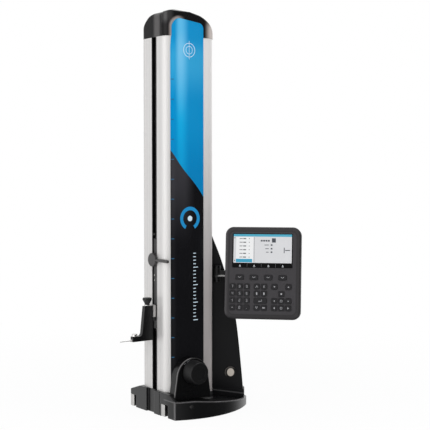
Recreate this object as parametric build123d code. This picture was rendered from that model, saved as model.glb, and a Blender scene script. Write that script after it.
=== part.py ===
from build123d import *
import os
from math import acos, atan2, cos, hypot, radians, sin

# Motorised vertical height gauge of the 600 mm class.  Millimetres, +Z up.
# The origin is on the underside of the base, below the axis of the column.
# The probe side is -X, the front with the control wheel is -Y, the grip is on +X.

# ---------------------------------------------------------------- running gaps
FIT = 0.05            # radial clearance of a shaft in its bore
SLIDE = 0.3           # clearance between pieces that pass each other
SEAT = 0.1            # clearance of a piece that is set in a pocket

# ---------------------------------------------------------------- column
COLUMN_W = 150.0      # along X
COLUMN_D = 126.0      # along Y
COLUMN_H = 899.0
COLUMN_R_FRONT = 27.0
COLUMN_R_REAR = 20.0
CASING_WALL = 4.0
SLOT_W = 21.0
LINER_T = 2.0
LINER_DEPTH = 9.0

# ---------------------------------------------------------------- base
BASE_TOE = 8.0        # the base stands this far in front of the probe face
BASE_LEFT_HALF = 105.0
BASE_HALF = 127.5
BASE_BULGE_X = 12.0
NOSE_START_X = 167.0
NOSE_START_HALF = 70.5
NOSE_X = 198.0
RIM_H = 45.0
RIM_FLAT_X = -30.0    # the rim is level up to here, then falls
RIM_FALL = 0.128
RIM_W = 6.0
TRAY_DEPTH = 3.0
PLATFORM_RISE = 15.0  # of the platform under the column above the rim
PLATFORM_EDGE = 3.0
PLATFORM_TOP_Y = (-80.0, 60.0)
PLATFORM_FOOT_HALF = 104.0
BASE_CORNER_R = 5.0
TOE_RECESS_Y = (-9.0, 27.0)
TOE_RECESS_DEPTH = 6.0
TOE_GROOVE_Y = -35.0
TOE_GROOVE = (2.0, 3.0)  # depth, width
GUIDE_PAD = (14.0, 16.0, 30.0)
GUIDE_PAD_LIFT = 1.0
GUIDE_PAD_GAPS = (15.5, 11.0)  # beside the front pad and the rear pad
GUIDE_PAD_FRONT_Y = -50.0
GUIDE_PAD_CORNER = 8.0  # from the middle of the rear pad to the base's rear corner
AIR_PAD_R = 20.0
AIR_PAD_T = 5.0
AIR_NOZZLE_R = 1.0
AIR_PAD_FRONT = (-48.0, 78.0)
AIR_PAD_NOSE_X = 150.0
BASE_PLUG_R = 4.0
BASE_PLUG_PLACE = (-43.0, 32.0)
BASE_PLUG_IN = 12.0   # how far the hole reaches in from the base's widest line

# ---------------------------------------------------------------- guide inside the column
CORE_X = 15.0
CORE_W = 66.0
CORE_D = 50.0
CORE_WALL = 6.0
CORE_TOP_GAP = 21.0
CORE_FOOT = (90.0, 60.0, 8.0)
BLOCK_GAP = 1.3       # from the guide to the blocks on its rail
RAIL_H = 10.0
RAIL_W = 20.0
RAIL_GROOVE = 1.5
RAIL_LIFT = 2.0
SCALE_W = 14.0
SCALE_T = 3.5
SCALE_INSET = 2.0
SCALE_LOW_GAP = 100.0
SCALE_TOP_GAP = 15.0

# ---------------------------------------------------------------- belt drive
PULLEY_R = 42.0
PULLEY_FLANGE = 3.0
PULLEY_FLANGE_T = 1.0
PULLEY_HOLES = 6
PULLEY_HOLE_RING = 23.0
PULLEY_HOLE_R = 7.5
BELT_W = 12.0
BELT_T = 1.5
BELT_GAP = 7.0        # from the guide to the belt's near edge
DRIVE_Z = 110.0
IDLER_DROP = 44.0     # from the top of the column down to the top pulley's axis
AXLE_R = 4.0
AXLE_SHOULDER = 2.0
AXLE_END = 3.0
MOTOR_R = 25.0
MOTOR_END_GAP = 4.0    # to the casing in front of the motor
MOTOR_FLANGE_T = 4.0
MOTOR_CORNER_R = 6.0
WEIGHT_W = 21.0
WEIGHT_END_GAP = 7.0   # to the casing behind the weight
WEIGHT_L = 96.0
WEIGHT_Z = 642.0
WEIGHT_SHIFT = 1.2    # towards the guide
WEIGHT_GAP = 2.0
WEIGHT_EDGE = 1.5

# ---------------------------------------------------------------- carriage and probe
CARRIAGE_Z = (215.0, 448.0)
CARRIAGE_W = 48.0
CARRIAGE_T = 14.0
BLOCK_W = 36.0
BLOCK_L = 44.0
BLOCK_T = 17.0
BLOCK_INSET = 6.0
CARRIAGE_WINDOW = (26.0, 36.0)
JAW_L = 40.0
JAW_MARGIN = 5.0
JAW_DROP = 15.0       # the belt clamp lies this far below the middle of the carriage
HEAD_SIZE = (34.0, 14.0, 50.0)
HEAD_GAP = 0.5
COVER_SETBACK = 3.0
COVER_LIFT = 2.0
MOUNT_Z = (239.0, 279.0)
MOUNT_REACH = 9.0
MOUNT_FLANGE_T = 8.0
MOUNT_FLANGE_LAP = 2.0
MOUNT_FLANGE_STEP = (10.0, 1.0)
ARM_T = 12.0
ARM_TOP_Z = 277.0
ARM_FOOT_Z = (189.0, 202.0)
ARM_TOP_W = 23.5
ARM_FOOT_W = 31.5
ARM_REACH = 59.0
ARM_FILLET = 9.0
STYLUS_Z = 192.0
STYLUS_SHANK_R = 2.0
STYLUS_SHANK_L = 16.0
STYLUS_CONE_R = 3.6
STYLUS_CONE_L = 9.0
STYLUS_ROD_R = 0.9
STYLUS_L = 24.0
STYLUS_BALL_R = 1.5
STYLUS_SCREW_X = 8.0  # from the end of the foot
STYLUS_SCREW_R = 7.0
STYLUS_SCREW_H = 6.5
STYLUS_SCREW_EDGE = 1.0
CLAMP_KNOB_R = 11.5
CLAMP_KNOB_H = 17.0
CLAMP_COLLAR_R = 6.5
CLAMP_COLLAR_H = 4.0
CLAMP_FLARE_H = 11.0
CLAMP_EDGE_R = 2.0
CLAMP_STEM_R = 2.5
CLAMP_STEM_L = 12.0
CLAMP_INSET = 13.0    # from the column side of the arm
LOCK_Z = 394.0
LOCK_DISC_R = 17.2
LOCK_DISC_T = 8.0
LOCK_GAP = 1.0
LOCK_STEM_R = 4.8
LOCK_REACH = 71.0
LOCK_ROD_R = 3.6
LOCK_GRIP_R = 4.8
LOCK_GRIP_L = 34.0
LOCK_EDGE_R = 1.5
LOCK_GRIP_EDGE_R = 2.0
LOCK_HOLE_END = 3.0   # wall left behind the hole for the stem

# ---------------------------------------------------------------- cap and film
CAP_WALL = 4.0
CAP_SHOULDER_H = 59.0
CAP_SHOULDER_R = 10.0
CAP_PEAK_X = -42.0
CAP_PEAK_R = 25.0
CAP_PEAK_H = 67.0     # heights of the cap are above the top of the column
CAP_RIGHT_X = 20.0
CAP_RIGHT_H = 53.5
CAP_RIGHT_BULGE = (22.0, 20.0)
CAP_REAR_REACH = 3.0  # the rear curve ends behind the column, below its top
CAP_REAR_DROP = 11.8
CAP_REAR_TOP_Y = 0.0
CAP_REAR_TOP_H = 61.0
CAP_REAR_BULGE = (25.0, 19.0)
CAP_FRONT_TOP_H = 59.0
CAP_RIDGE_H = 68.0
CAP_ROOT = 40.0       # the cap's closed form starts this far down in the column
CAP_SPLIT_Y = -37.0
CAP_GROOVE = 1.2
FRAME_PROUD = 1.5
CAP_LIP_H = 8.0
CAP_LIP_T = 3.0
FILM_T = 0.8
FILM_X = (-61.6, 34.0)
FILM_TOP_LEFT = (-36.0, 43.7)
FILM_TOP_RIGHT = (22.8, 36.3)
FILM_TOP_R = (24.0, 15.0)

# ---------------------------------------------------------------- wheel dome
DOME_X = -16.0
DOME_FOOT_HALF = 58.0
DOME_CROWN_R = 48.5
DOME_SINK = 2.0       # its foot reaches this far below the rim
DOME_TOP_Z = 148.0
DOME_FRONT_Y = -88.0
DOME_WALL = 3.0
DOME_EDGE_R = 4.0
WHEEL_X = -17.5
WHEEL_Z = 113.0
WHEEL_R = 30.5
WHEEL_FACE_R = 27.0
WHEEL_L = 31.0
WHEEL_GAP = 1.0
WHEEL_DISH_R = 17.0
WHEEL_DISH_DEPTH = 1.5
WHEEL_SHAFT_R = 3.0
WHEEL_SKIRT = 3.0
WHEEL_EDGE_R = 2.5
ENCODER = (26.0, 12.0, 26.0)

# ---------------------------------------------------------------- grip housing
GRIP_R = 87.5         # radius of the outer face in every section
GRIP_NECK_HALF = 12.0
GRIP_NECK_X = 98.0
GRIP_FLARE = 0.762    # how fast the faces spread behind the neck
GRIP_FLARE_X = 210.0
GRIP_NECK_WALL = 10.0
GRIP_NECK_R = 25.0
GRIP_WALL = 3.0
GRIP_FOOT_H = 42.0
GRIP_FOOT_EDGE = 4.0
GRIP_CENTRES = ((101.0, 47.0), (97.0, 85.0), (87.0, 167.0), (79.0, 220.0),
                (41.0, 367.0), (24.0, 416.0), (9.0, 455.0), (-17.0, 520.0))
BUTTON_ALONG = 50.0   # along the flared face from the neck
BUTTON_Z = 86.0
BUTTON_R = 10.8
BUTTON_L = 9.5
BUTTON_PROUD = 2.0
BEZEL_R = 15.5
BEZEL_L = 17.0
BEZEL_PROUD = 3.5
BEZEL_FLOOR = 2.0
BATTERY_X = (138.0, 158.0)
BATTERY_Y = (1.0, 34.0)
BATTERY_Z = (10.0, 190.0)
SCREW_HEAD_R = 3.5
SCREW_HEAD_H = 2.6
SCREW_R = 2.0
SCREW_L = 8.0
GRIP_SCREW_X = 88.0
GRIP_SCREW_Z = (130.0, 260.0, 390.0)
SOCKET_X = 0.0
SOCKET_Z = 90.0
SOCKET_R = 8.0
SOCKET_L = 12.0
SOCKET_FLANGE_R = 10.0
SOCKET_FLANGE_T = 1.5
JACK_R = 2.75
JACK_DEPTH = 9.0

# ---------------------------------------------------------------- panel arm
BRACKET_Y = (-35.0, -15.0)
BRACKET_T = 11.0
BRACKET_H = 92.0
BRACKET_DROP = 8.0    # its middle lies this far below the tilt axis
SWIVEL_X = 100.0
SWIVEL_Y = -31.0
SWIVEL_R = 10.0
SWIVEL_PIN_R = 5.0
HUB_H = 28.0
EAR_T = 7.0
ARM_BAR = (12.0, 16.0)
ARM_BEND_X = -62.0    # where the arm turns into the tilt shaft, from the panel's middle
TILT_SHAFT_R = 5.0
TILT_COLLAR_T = 3.0

# ---------------------------------------------------------------- control panel
PANEL_W = 196.0
PANEL_H = 238.0
PANEL_FRONT_T = 15.0
PANEL_REAR_T = 20.0
PANEL_CORNER_R = 21.0
PANEL_EDGE_R = 4.0
PANEL_WALL = 3.0
PANEL_X = 171.6
PANEL_Y = -137.6
PANEL_Z = 355.5
PANEL_TURN = -45.0
PANEL_LEAN = -8.0
HINGE_BACK = 18.0     # from the back of the panel to the tilt axis
EAR_W = 12.0
EAR_R = 10.0
EAR_X = 22.0          # middle of each ear from the middle of the panel
DISPLAY = (156.0, 88.5, 5.0)
DISPLAY_X = -1.0
DISPLAY_Z = 57.5
DISPLAY_SEAT = 1.0    # the glass lies this far behind the front face
DISPLAY_R = 2.0
KEY_DEPTH = 6.5
KEY_PROUD = 1.6
KEY_R = 3.0
SOFT_KEY = (21.0, 13.0)
SOFT_KEY_Z = -11.5
SOFT_KEY_X = -59.2
SOFT_KEY_PITCH = 37.0
PAD_KEY = (15.0, 14.0)
PAD_KEY_X = -77.2
PAD_KEY_Z = -35.0
PAD_PITCH = (18.6, 18.1)
PAD_ROWS = 4
PAD_COLUMNS = 3
FUNCTION_X = -14.0
FUNCTION_PITCH = 18.6
CURSOR_X = 31.4
CURSOR_PITCH = 18.0

# ================================================================ derived places
PLATFORM_H = RIM_H + PLATFORM_RISE
COLUMN_Z = PLATFORM_H
COLUMN_TOP = COLUMN_Z + COLUMN_H
FACE_X = -COLUMN_W / 2
FRONT_Y = -COLUMN_D / 2
BASE_X = FACE_X - BASE_TOE
SLOT_HALF = SLOT_W / 2
PASS_HALF = SLOT_HALF - LINER_T - 2 * SLIDE
CORE_X0 = CORE_X - CORE_W / 2
CORE_X1 = CORE_X + CORE_W / 2
CORE_REAR = CORE_D / 2
CORE_TOP = COLUMN_TOP - CORE_TOP_GAP
IDLER_Z = COLUMN_TOP - IDLER_DROP
PEAK_Z = COLUMN_TOP + CAP_PEAK_H
BELT_Y = CORE_REAR + BELT_GAP
INSIDE_Y = COLUMN_D / 2 - CASING_WALL
MOTOR_L = INSIDE_Y - MOTOR_END_GAP - CORE_REAR
WEIGHT_D = INSIDE_Y - WEIGHT_END_GAP - CORE_REAR - WEIGHT_GAP
GUIDE_PAD_Y = (GUIDE_PAD_FRONT_Y, BASE_LEFT_HALF - GUIDE_PAD_CORNER)
BELT_OUT_R = PULLEY_R + BELT_T
RAIL_X = CORE_X0 - RAIL_H
BLOCK_X1 = CORE_X0 - BLOCK_GAP
BLOCK_X0 = BLOCK_X1 - BLOCK_T
CARRIAGE_X1 = BLOCK_X0
CARRIAGE_X0 = CARRIAGE_X1 - CARRIAGE_T
ARM_X = FACE_X - MOUNT_REACH
ARM_END_X = ARM_X - ARM_REACH
WHEEL_BACK_Y = DOME_FRONT_Y - WHEEL_GAP
PANEL_T = PANEL_FRONT_T + PANEL_REAR_T
PANEL_FACE = -PANEL_T / 2
PANEL_SEAM = PANEL_FACE + PANEL_FRONT_T
PANEL_BACK = PANEL_T / 2
HINGE_Y = PANEL_BACK + HINGE_BACK
FAR = 600.0
PANEL_PLACE = Location((PANEL_X, PANEL_Y, PANEL_Z)) * Rotation(0, 0, PANEL_TURN)
PANEL_PLACE *= Rotation(PANEL_LEAN, 0, 0)


# ================================================================ shape helpers
def block(x0, x1, y0, y1, z0, z1):
    size = (x1 - x0, y1 - y0, z1 - z0)
    middle = ((x0 + x1) / 2, (y0 + y1) / 2, (z0 + z1) / 2)
    return Pos(*middle) * Box(*size)


def rod_x(radius, x0, x1, y, z):
    return Pos((x0 + x1) / 2, y, z) * Rotation(0, 90, 0) * Cylinder(radius, abs(x1 - x0))


def rod_y(radius, y0, y1, x, z):
    return Pos(x, (y0 + y1) / 2, z) * Rotation(90, 0, 0) * Cylinder(radius, abs(y1 - y0))


def rod_z(radius, z0, z1, x, y):
    return Pos(x, y, (z0 + z1) / 2) * Cylinder(radius, abs(z1 - z0))


def cone_y(r0, r1, y0, y1, x, z):
    """A cone with radius r0 at y0 and r1 at y1."""
    turn = 90 if y1 < y0 else -90
    return Pos(x, (y0 + y1) / 2, z) * Rotation(turn, 0, 0) * Cone(r0, r1, abs(y1 - y0))


def side_prism(points, y0, y1):
    """Extrude a closed XZ outline from y0 to y1."""
    face = Plane.XZ * make_face(Polyline(*points, close=True))
    return Pos(0, y1, 0) * extrude(face, y1 - y0)


def side_face(wires, y0, y1):
    """Extrude a closed XZ outline made of curves drawn in the XY plane."""
    face = Plane.XZ * make_face(wires)
    return Pos(0, y1, 0) * extrude(face, y1 - y0)


def round_box(width, height, radius, y0, y1, x=0.0, z=0.0):
    """A plate that faces along Y, with round corners."""
    face = Plane.XZ * (Pos(x, z) * RectangleRounded(width, height, radius))
    return Pos(0, y1, 0) * extrude(face, y1 - y0)


def vertical_edges(solid, x=None):
    edges = solid.edges().filter_by(Axis.Z)
    if x is None:
        return edges
    return edges.filter_by_position(Axis.X, x - 0.01, x + 0.01)


# ================================================================ outlines
def column_plan(grow=0.0):
    """The column's outline seen from above, larger or smaller by grow."""
    x = COLUMN_W / 2 + grow
    y = COLUMN_D / 2 + grow
    rf = COLUMN_R_FRONT + grow
    rr = COLUMN_R_REAR + grow
    plan = make_face(Polyline((-x, -y), (x, -y), (x, y), (-x, y), close=True))
    front = plan.vertices().filter_by_position(Axis.Y, -y - 1, -y + 1)
    plan = fillet(front, rf)
    rear = plan.vertices().filter_by_position(Axis.Y, y - 1, y + 1)
    return fillet(rear, rr)


def column_prism(grow, z0, z1):
    return Pos(0, 0, z0) * extrude(column_plan(grow), z1 - z0)


def base_plan(inset=0.0):
    """The base's outline: a flat toe, two swept sides and a round nose."""
    toe = (BASE_X + inset, BASE_LEFT_HALF - inset)
    bulge = (BASE_BULGE_X, BASE_HALF - inset)
    share = inset / hypot(NOSE_X, NOSE_START_HALF)
    start = (NOSE_START_X - NOSE_X * share, NOSE_START_HALF * (1 - share) - inset / 2)
    nose = (NOSE_X - inset, 0)
    lines = [
        Line((toe[0], toe[1]), (toe[0], -toe[1])),
        ThreePointArc((toe[0], -toe[1]), (bulge[0], -bulge[1]), (start[0], -start[1])),
        ThreePointArc((start[0], -start[1]), nose, (start[0], start[1])),
        ThreePointArc((start[0], start[1]), (bulge[0], bulge[1]), (toe[0], toe[1])),
    ]
    return make_face(lines)


def rim_height(x):
    return RIM_H - RIM_FALL * max(0.0, x - RIM_FLAT_X)


def below_rim(drop):
    """Everything under the rim's surface, lowered by drop."""
    x0 = BASE_X - 10
    x1 = NOSE_X + 10
    points = [
        (x0, -1),
        (x0, RIM_H - drop),
        (RIM_FLAT_X, RIM_H - drop),
        (x1, rim_height(x1) - drop),
        (x1, -1),
    ]
    return side_prism(points, -BASE_HALF - 10, BASE_HALF + 10)


# ================================================================ base
def air_pad_places():
    x, y = AIR_PAD_FRONT
    return [(x, -y), (x, y), (AIR_PAD_NOSE_X, 0)]


def base_casting():
    high = PLATFORM_H + 1
    body = extrude(base_plan(), high) & below_rim(0)
    body = fillet(vertical_edges(body, BASE_X), BASE_CORNER_R)
    body -= extrude(base_plan(RIM_W), high) - below_rim(TRAY_DEPTH)
    low = RIM_H / 2
    raised = Plane.YZ * make_face(Polyline(
        (-PLATFORM_FOOT_HALF, low),
        (-PLATFORM_FOOT_HALF, RIM_H),
        (PLATFORM_TOP_Y[0], PLATFORM_H),
        (PLATFORM_TOP_Y[1], PLATFORM_H),
        (PLATFORM_FOOT_HALF, RIM_H),
        (PLATFORM_FOOT_HALF, low),
        close=True))
    platform = Pos(BASE_X, 0, 0) * extrude(raised, DOME_X - DOME_FOOT_HALF - BASE_X)
    platform += column_prism(PLATFORM_EDGE, low, PLATFORM_H)
    body += platform & below_rim(-PLATFORM_RISE)
    length, width, height = CORE_FOOT
    x0 = CORE_X - length / 2
    body += block(x0, x0 + length, -width / 2, width / 2, low, PLATFORM_H)
    y0, y1 = TOE_RECESS_Y
    body -= block(BASE_X - 1, BASE_X + TOE_RECESS_DEPTH, y0, y1, -1, high)
    depth, width = TOE_GROOVE
    groove = (TOE_GROOVE_Y - width / 2, TOE_GROOVE_Y + width / 2)
    body -= block(BASE_X - 1, BASE_X + depth, *groove, -1, high)
    depth, width, height = GUIDE_PAD
    for y, gap in zip(GUIDE_PAD_Y, GUIDE_PAD_GAPS):
        far = y + width / 2
        near = y - width / 2 - gap
        if far > BASE_LEFT_HALF - BASE_CORNER_R:
            far = BASE_LEFT_HALF + BASE_CORNER_R
        body -= block(BASE_X - 1, BASE_X + depth, near, far, -1, height + 2 * GUIDE_PAD_LIFT)
    for x, y in air_pad_places():
        body -= rod_z(AIR_PAD_R + SEAT, -1, AIR_PAD_T, x, y)
    x, z = BASE_PLUG_PLACE
    return body - rod_y(BASE_PLUG_R, -BASE_HALF - 10, BASE_PLUG_IN - BASE_HALF, x, z)


def air_bearing_pads():
    pads = []
    for x, y in air_pad_places():
        pad = rod_z(AIR_PAD_R, 0, AIR_PAD_T, x, y)
        groove = rod_z(AIR_PAD_R * 0.6, -1, 0.6, x, y) - rod_z(AIR_PAD_R * 0.5, -1, 0.6, x, y)
        pads.append(pad - groove - rod_z(AIR_NOZZLE_R, -1, AIR_PAD_T + 1, x, y))
    return pads


def guide_pads():
    depth, width, height = GUIDE_PAD
    pads = []
    for y in GUIDE_PAD_Y:
        z0 = GUIDE_PAD_LIFT
        pad = block(BASE_X, BASE_X + depth, y - width / 2, y + width / 2, z0, z0 + height)
        pads.append(chamfer(pad.edges().filter_by(Axis.Z).group_by(Axis.X)[0], 1.0))
    return pads


# ================================================================ column
def casing_ring():
    low = RIM_H / 2
    ring = column_prism(0, low, COLUMN_TOP) - column_prism(-CASING_WALL, low - 1, COLUMN_TOP + 1)
    return ring - below_rim(-PLATFORM_RISE)


def slot_gap():
    return block(FACE_X - 5, 0, -SLOT_HALF, SLOT_HALF, 0, COLUMN_TOP + 1)


def front_casing():
    front = block(-FAR, FAR, -FAR, 0, 0, 2 * COLUMN_TOP)
    return (casing_ring() & front) - slot_gap()


def rear_casing():
    rear = block(-FAR, FAR, 0, FAR, 0, 2 * COLUMN_TOP)
    hole = rod_y(SOCKET_R + SEAT, 0, COLUMN_D, SOCKET_X, SOCKET_Z)
    return (casing_ring() & rear) - slot_gap() - hole


def slot_liners():
    liners = []
    for side in (-1, 1):
        outer = side * SLOT_HALF
        inner = side * (SLOT_HALF - LINER_T)
        x0 = FACE_X + 0.5
        liners.append(block(x0, x0 + LINER_DEPTH, min(outer, inner), max(outer, inner), COLUMN_Z, COLUMN_TOP))
    return liners


def column_core():
    tube = block(CORE_X0, CORE_X1, -CORE_REAR, CORE_REAR, COLUMN_Z, CORE_TOP)
    wall = CORE_WALL
    y = CORE_REAR - wall
    tube -= block(CORE_X0 + wall, CORE_X1 - wall, -y, y, COLUMN_Z - 1, CORE_TOP + 1)
    length, width, height = CORE_FOOT
    foot = block(CORE_X - length / 2, CORE_X + length / 2, -width / 2, width / 2, COLUMN_Z, COLUMN_Z + height)
    core = tube + foot
    core -= rod_y(AXLE_R + FIT, -COLUMN_D, COLUMN_D, CORE_X, DRIVE_Z)
    core += rod_y(AXLE_R, CORE_REAR - wall, BELT_Y + BELT_W + AXLE_END, CORE_X, IDLER_Z)
    core += rod_y(AXLE_R + AXLE_SHOULDER, CORE_REAR - 1, BELT_Y - PULLEY_FLANGE_T - SLIDE, CORE_X, IDLER_Z)
    return core


def guide_rail():
    z0 = COLUMN_Z + CORE_FOOT[2] + RAIL_LIFT
    rail = block(RAIL_X, CORE_X0, -RAIL_W / 2, RAIL_W / 2, z0, CORE_TOP)
    middle = (RAIL_X + CORE_X0) / 2
    for side in (-1, 1):
        y = side * RAIL_W / 2
        rail -= rod_z(RAIL_GROOVE, z0 - 1, CORE_TOP + 1, middle, y)
    return rail


def glass_scale():
    x0 = CORE_X0 + SCALE_INSET
    z0 = COLUMN_Z + SCALE_LOW_GAP
    return block(x0, x0 + SCALE_W, -CORE_REAR - SCALE_T, -CORE_REAR, z0, CORE_TOP - SCALE_TOP_GAP)


def front_film():
    """The printed facing, wrapped round the front left corner of the column."""
    skin = column_prism(FILM_T, COLUMN_Z + 1, PEAK_Z) - column_prism(0, COLUMN_Z, PEAK_Z + 1)
    return skin & film_prism(0)


def film_prism(grow):
    x0, x1 = FILM_X
    x0 -= grow
    x1 += grow
    slope = (FILM_TOP_RIGHT[1] - FILM_TOP_LEFT[1]) / (FILM_TOP_RIGHT[0] - FILM_TOP_LEFT[0])
    z_left = COLUMN_TOP + FILM_TOP_LEFT[1] + slope * (x0 - FILM_TOP_LEFT[0]) + grow
    z_right = COLUMN_TOP + FILM_TOP_RIGHT[1] + slope * (x1 - FILM_TOP_RIGHT[0]) + grow
    face = make_face(Polyline((x0, COLUMN_Z - 1), (x0, z_left), (x1, z_right), (x1, COLUMN_Z - 1), close=True))
    for x, z, radius in ((x0, z_left, FILM_TOP_R[0]), (x1, z_right, FILM_TOP_R[1])):
        face = fillet(face.vertices().sort_by_distance((x, z))[0], radius + grow)
    face = Plane.XZ * face
    return Pos(0, FRONT_Y / 4, 0) * extrude(face, COLUMN_D)


# ================================================================ cap
def cap_mass(grow):
    """The closed form of the cap, larger or smaller by grow, running down into the column."""
    x = COLUMN_W / 2
    y = COLUMN_D / 2
    deep = COLUMN_TOP - CAP_ROOT
    shoulder = COLUMN_TOP + CAP_SHOULDER_H
    right = COLUMN_TOP + CAP_RIGHT_H
    right_via = (x - CAP_RIGHT_BULGE[0], right - CAP_RIGHT_BULGE[1])
    front = make_face([
        Line((-x, deep), (-x, shoulder)),
        Line((-x, shoulder), (CAP_PEAK_X, PEAK_Z)),
        Line((CAP_PEAK_X, PEAK_Z), (CAP_RIGHT_X, right)),
        ThreePointArc((CAP_RIGHT_X, right), right_via, (x, COLUMN_TOP)),
        Line((x, COLUMN_TOP), (x, deep)),
        Line((x, deep), (-x, deep)),
    ])
    corner = front.vertices().sort_by_distance((-x, shoulder))[0]
    front = fillet(corner, CAP_SHOULDER_R)
    corner = front.vertices().sort_by_distance((CAP_PEAK_X, PEAK_Z))[0]
    front = fillet(corner, CAP_PEAK_R)
    y0 = -y - CAP_WALL
    ridge = COLUMN_TOP + CAP_RIDGE_H
    rear_y = y + CAP_REAR_REACH
    rear = COLUMN_TOP - CAP_REAR_DROP
    rear_top = COLUMN_TOP + CAP_REAR_TOP_H
    rear_via = (y - CAP_REAR_BULGE[0], rear_top - CAP_REAR_BULGE[1])
    side = make_face([
        Line((y0, deep), (y0, COLUMN_TOP + CAP_FRONT_TOP_H)),
        Line((y0, COLUMN_TOP + CAP_FRONT_TOP_H), (CAP_SPLIT_Y, ridge)),
        Line((CAP_SPLIT_Y, ridge), (CAP_REAR_TOP_Y, rear_top)),
        ThreePointArc((CAP_REAR_TOP_Y, rear_top), rear_via, (rear_y, rear)),
        Line((rear_y, rear), (rear_y, deep)),
        Line((rear_y, deep), (y0, deep)),
    ])
    front_body = Pos(0, FAR / 2, 0) * extrude(Plane.XZ * offset(front, grow), FAR)
    side_body = Pos(-FAR / 2, 0, 0) * extrude(Plane.YZ * offset(side, grow), FAR)
    return column_prism(grow, deep, PEAK_Z + CAP_ROOT) & front_body & side_body


def cap_shell(grow):
    hollow = cap_mass(-CAP_WALL)
    body = cap_mass(grow) & block(-FAR, FAR, -FAR, FAR, COLUMN_TOP, 2 * COLUMN_TOP)
    lip = column_prism(-CASING_WALL - SEAT, COLUMN_TOP - CAP_LIP_H, COLUMN_TOP)
    lip += column_prism(-CAP_WALL / 2, COLUMN_TOP, COLUMN_TOP + CAP_LIP_T)
    lip -= block(FACE_X, CARRIAGE_X1, -SLOT_HALF - CAP_WALL, SLOT_HALF + CAP_WALL, 0, COLUMN_TOP)
    lip -= column_prism(-CASING_WALL - SEAT - CAP_LIP_T, COLUMN_TOP - CAP_ROOT, COLUMN_TOP + CAP_ROOT)
    return (body - hollow) + lip


def top_cap_rear():
    rear = block(-FAR, FAR, CAP_SPLIT_Y, FAR, 0, 2 * COLUMN_TOP)
    return cap_shell(0) & rear


def top_cap_frame():
    """The arched front piece: it stands a little proud and frames the facing."""
    front = block(-FAR, FAR, -FAR, CAP_SPLIT_Y - CAP_GROOVE, 0, 2 * COLUMN_TOP)
    key = block(-FAR, FAR, -FAR, CAP_SPLIT_Y, 0, 2 * COLUMN_TOP)
    inner = (cap_mass(-CAP_GROOVE) - cap_mass(-CAP_WALL)) & key
    inner &= block(-FAR, FAR, -FAR, FAR, COLUMN_TOP, 2 * COLUMN_TOP)
    frame = (cap_shell(FRAME_PROUD) & front) + inner
    proud = column_prism(FRAME_PROUD + CAP_WALL, COLUMN_TOP - 1, 2 * COLUMN_TOP)
    proud -= column_prism(0, COLUMN_TOP - CAP_ROOT, 2 * COLUMN_TOP + 1)
    return frame - (proud & film_prism(SLIDE))


# ================================================================ belt drive
def belt_loop(radius, y0, y1):
    """A solid stadium in the XZ plane round both pulleys."""
    lower = rod_y(radius, y0, y1, CORE_X, DRIVE_Z)
    upper = rod_y(radius, y0, y1, CORE_X, IDLER_Z)
    return lower + upper + block(CORE_X - radius, CORE_X + radius, y0, y1, DRIVE_Z, IDLER_Z)


def drive_belt():
    y0 = BELT_Y + SLIDE
    y1 = BELT_Y + BELT_W - SLIDE
    return belt_loop(BELT_OUT_R, y0, y1) - belt_loop(PULLEY_R, y0 - 1, y1 + 1)


def pulley_wheel(z):
    rim = PULLEY_R - SEAT
    wheel = rod_y(rim, BELT_Y, BELT_Y + BELT_W, CORE_X, z)
    for y in (BELT_Y - PULLEY_FLANGE_T, BELT_Y + BELT_W):
        wheel += rod_y(PULLEY_R + PULLEY_FLANGE, y, y + PULLEY_FLANGE_T, CORE_X, z)
    for index in range(PULLEY_HOLES):
        angle = radians(360 * index / PULLEY_HOLES)
        x = CORE_X + PULLEY_HOLE_RING * cos(angle)
        wheel -= rod_y(PULLEY_HOLE_R, BELT_Y - 5, BELT_Y + BELT_W + 5, x, z + PULLEY_HOLE_RING * sin(angle))
    return wheel


def top_pulley():
    return pulley_wheel(IDLER_Z) - rod_y(AXLE_R + FIT, BELT_Y - 5, BELT_Y + BELT_W + 5, CORE_X, IDLER_Z)


def drive_pulley():
    return pulley_wheel(DRIVE_Z) + rod_y(AXLE_R, -CORE_REAR - MOTOR_L / 2, BELT_Y + BELT_W, CORE_X, DRIVE_Z)


def drive_motor():
    y0 = -CORE_REAR - MOTOR_L
    y1 = -CORE_REAR - MOTOR_FLANGE_T
    body = rod_y(MOTOR_R, y0, y1, CORE_X, DRIVE_Z)
    body += round_box(2 * MOTOR_R, 2 * MOTOR_R, MOTOR_CORNER_R, y1, -CORE_REAR, CORE_X, DRIVE_Z)
    return body - rod_y(AXLE_R + FIT, y0 + 3, -CORE_REAR + 1, CORE_X, DRIVE_Z)


def belt_gap(run_x, z0, z1):
    """The slot that a clamp needs round one run of the belt."""
    inner = CORE_X + (PULLEY_R if run_x > CORE_X else -BELT_OUT_R)
    return block(inner - SLIDE, inner + BELT_T + SLIDE, BELT_Y, BELT_Y + BELT_W, z0 - 1, z1 + 1)


def counterweight():
    run = CORE_X + PULLEY_R + BELT_T / 2
    x0 = run - WEIGHT_W / 2 - WEIGHT_SHIFT
    y0 = CORE_REAR + WEIGHT_GAP
    z1 = WEIGHT_Z + WEIGHT_L
    weight = block(x0, x0 + WEIGHT_W, y0, y0 + WEIGHT_D, WEIGHT_Z, z1)
    weight = chamfer(weight.edges().filter_by(Axis.Z), WEIGHT_EDGE)
    return weight - belt_gap(run, WEIGHT_Z, z1)


# ================================================================ carriage
def jaw_middle():
    return (CARRIAGE_Z[0] + CARRIAGE_Z[1]) / 2 - JAW_DROP


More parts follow.
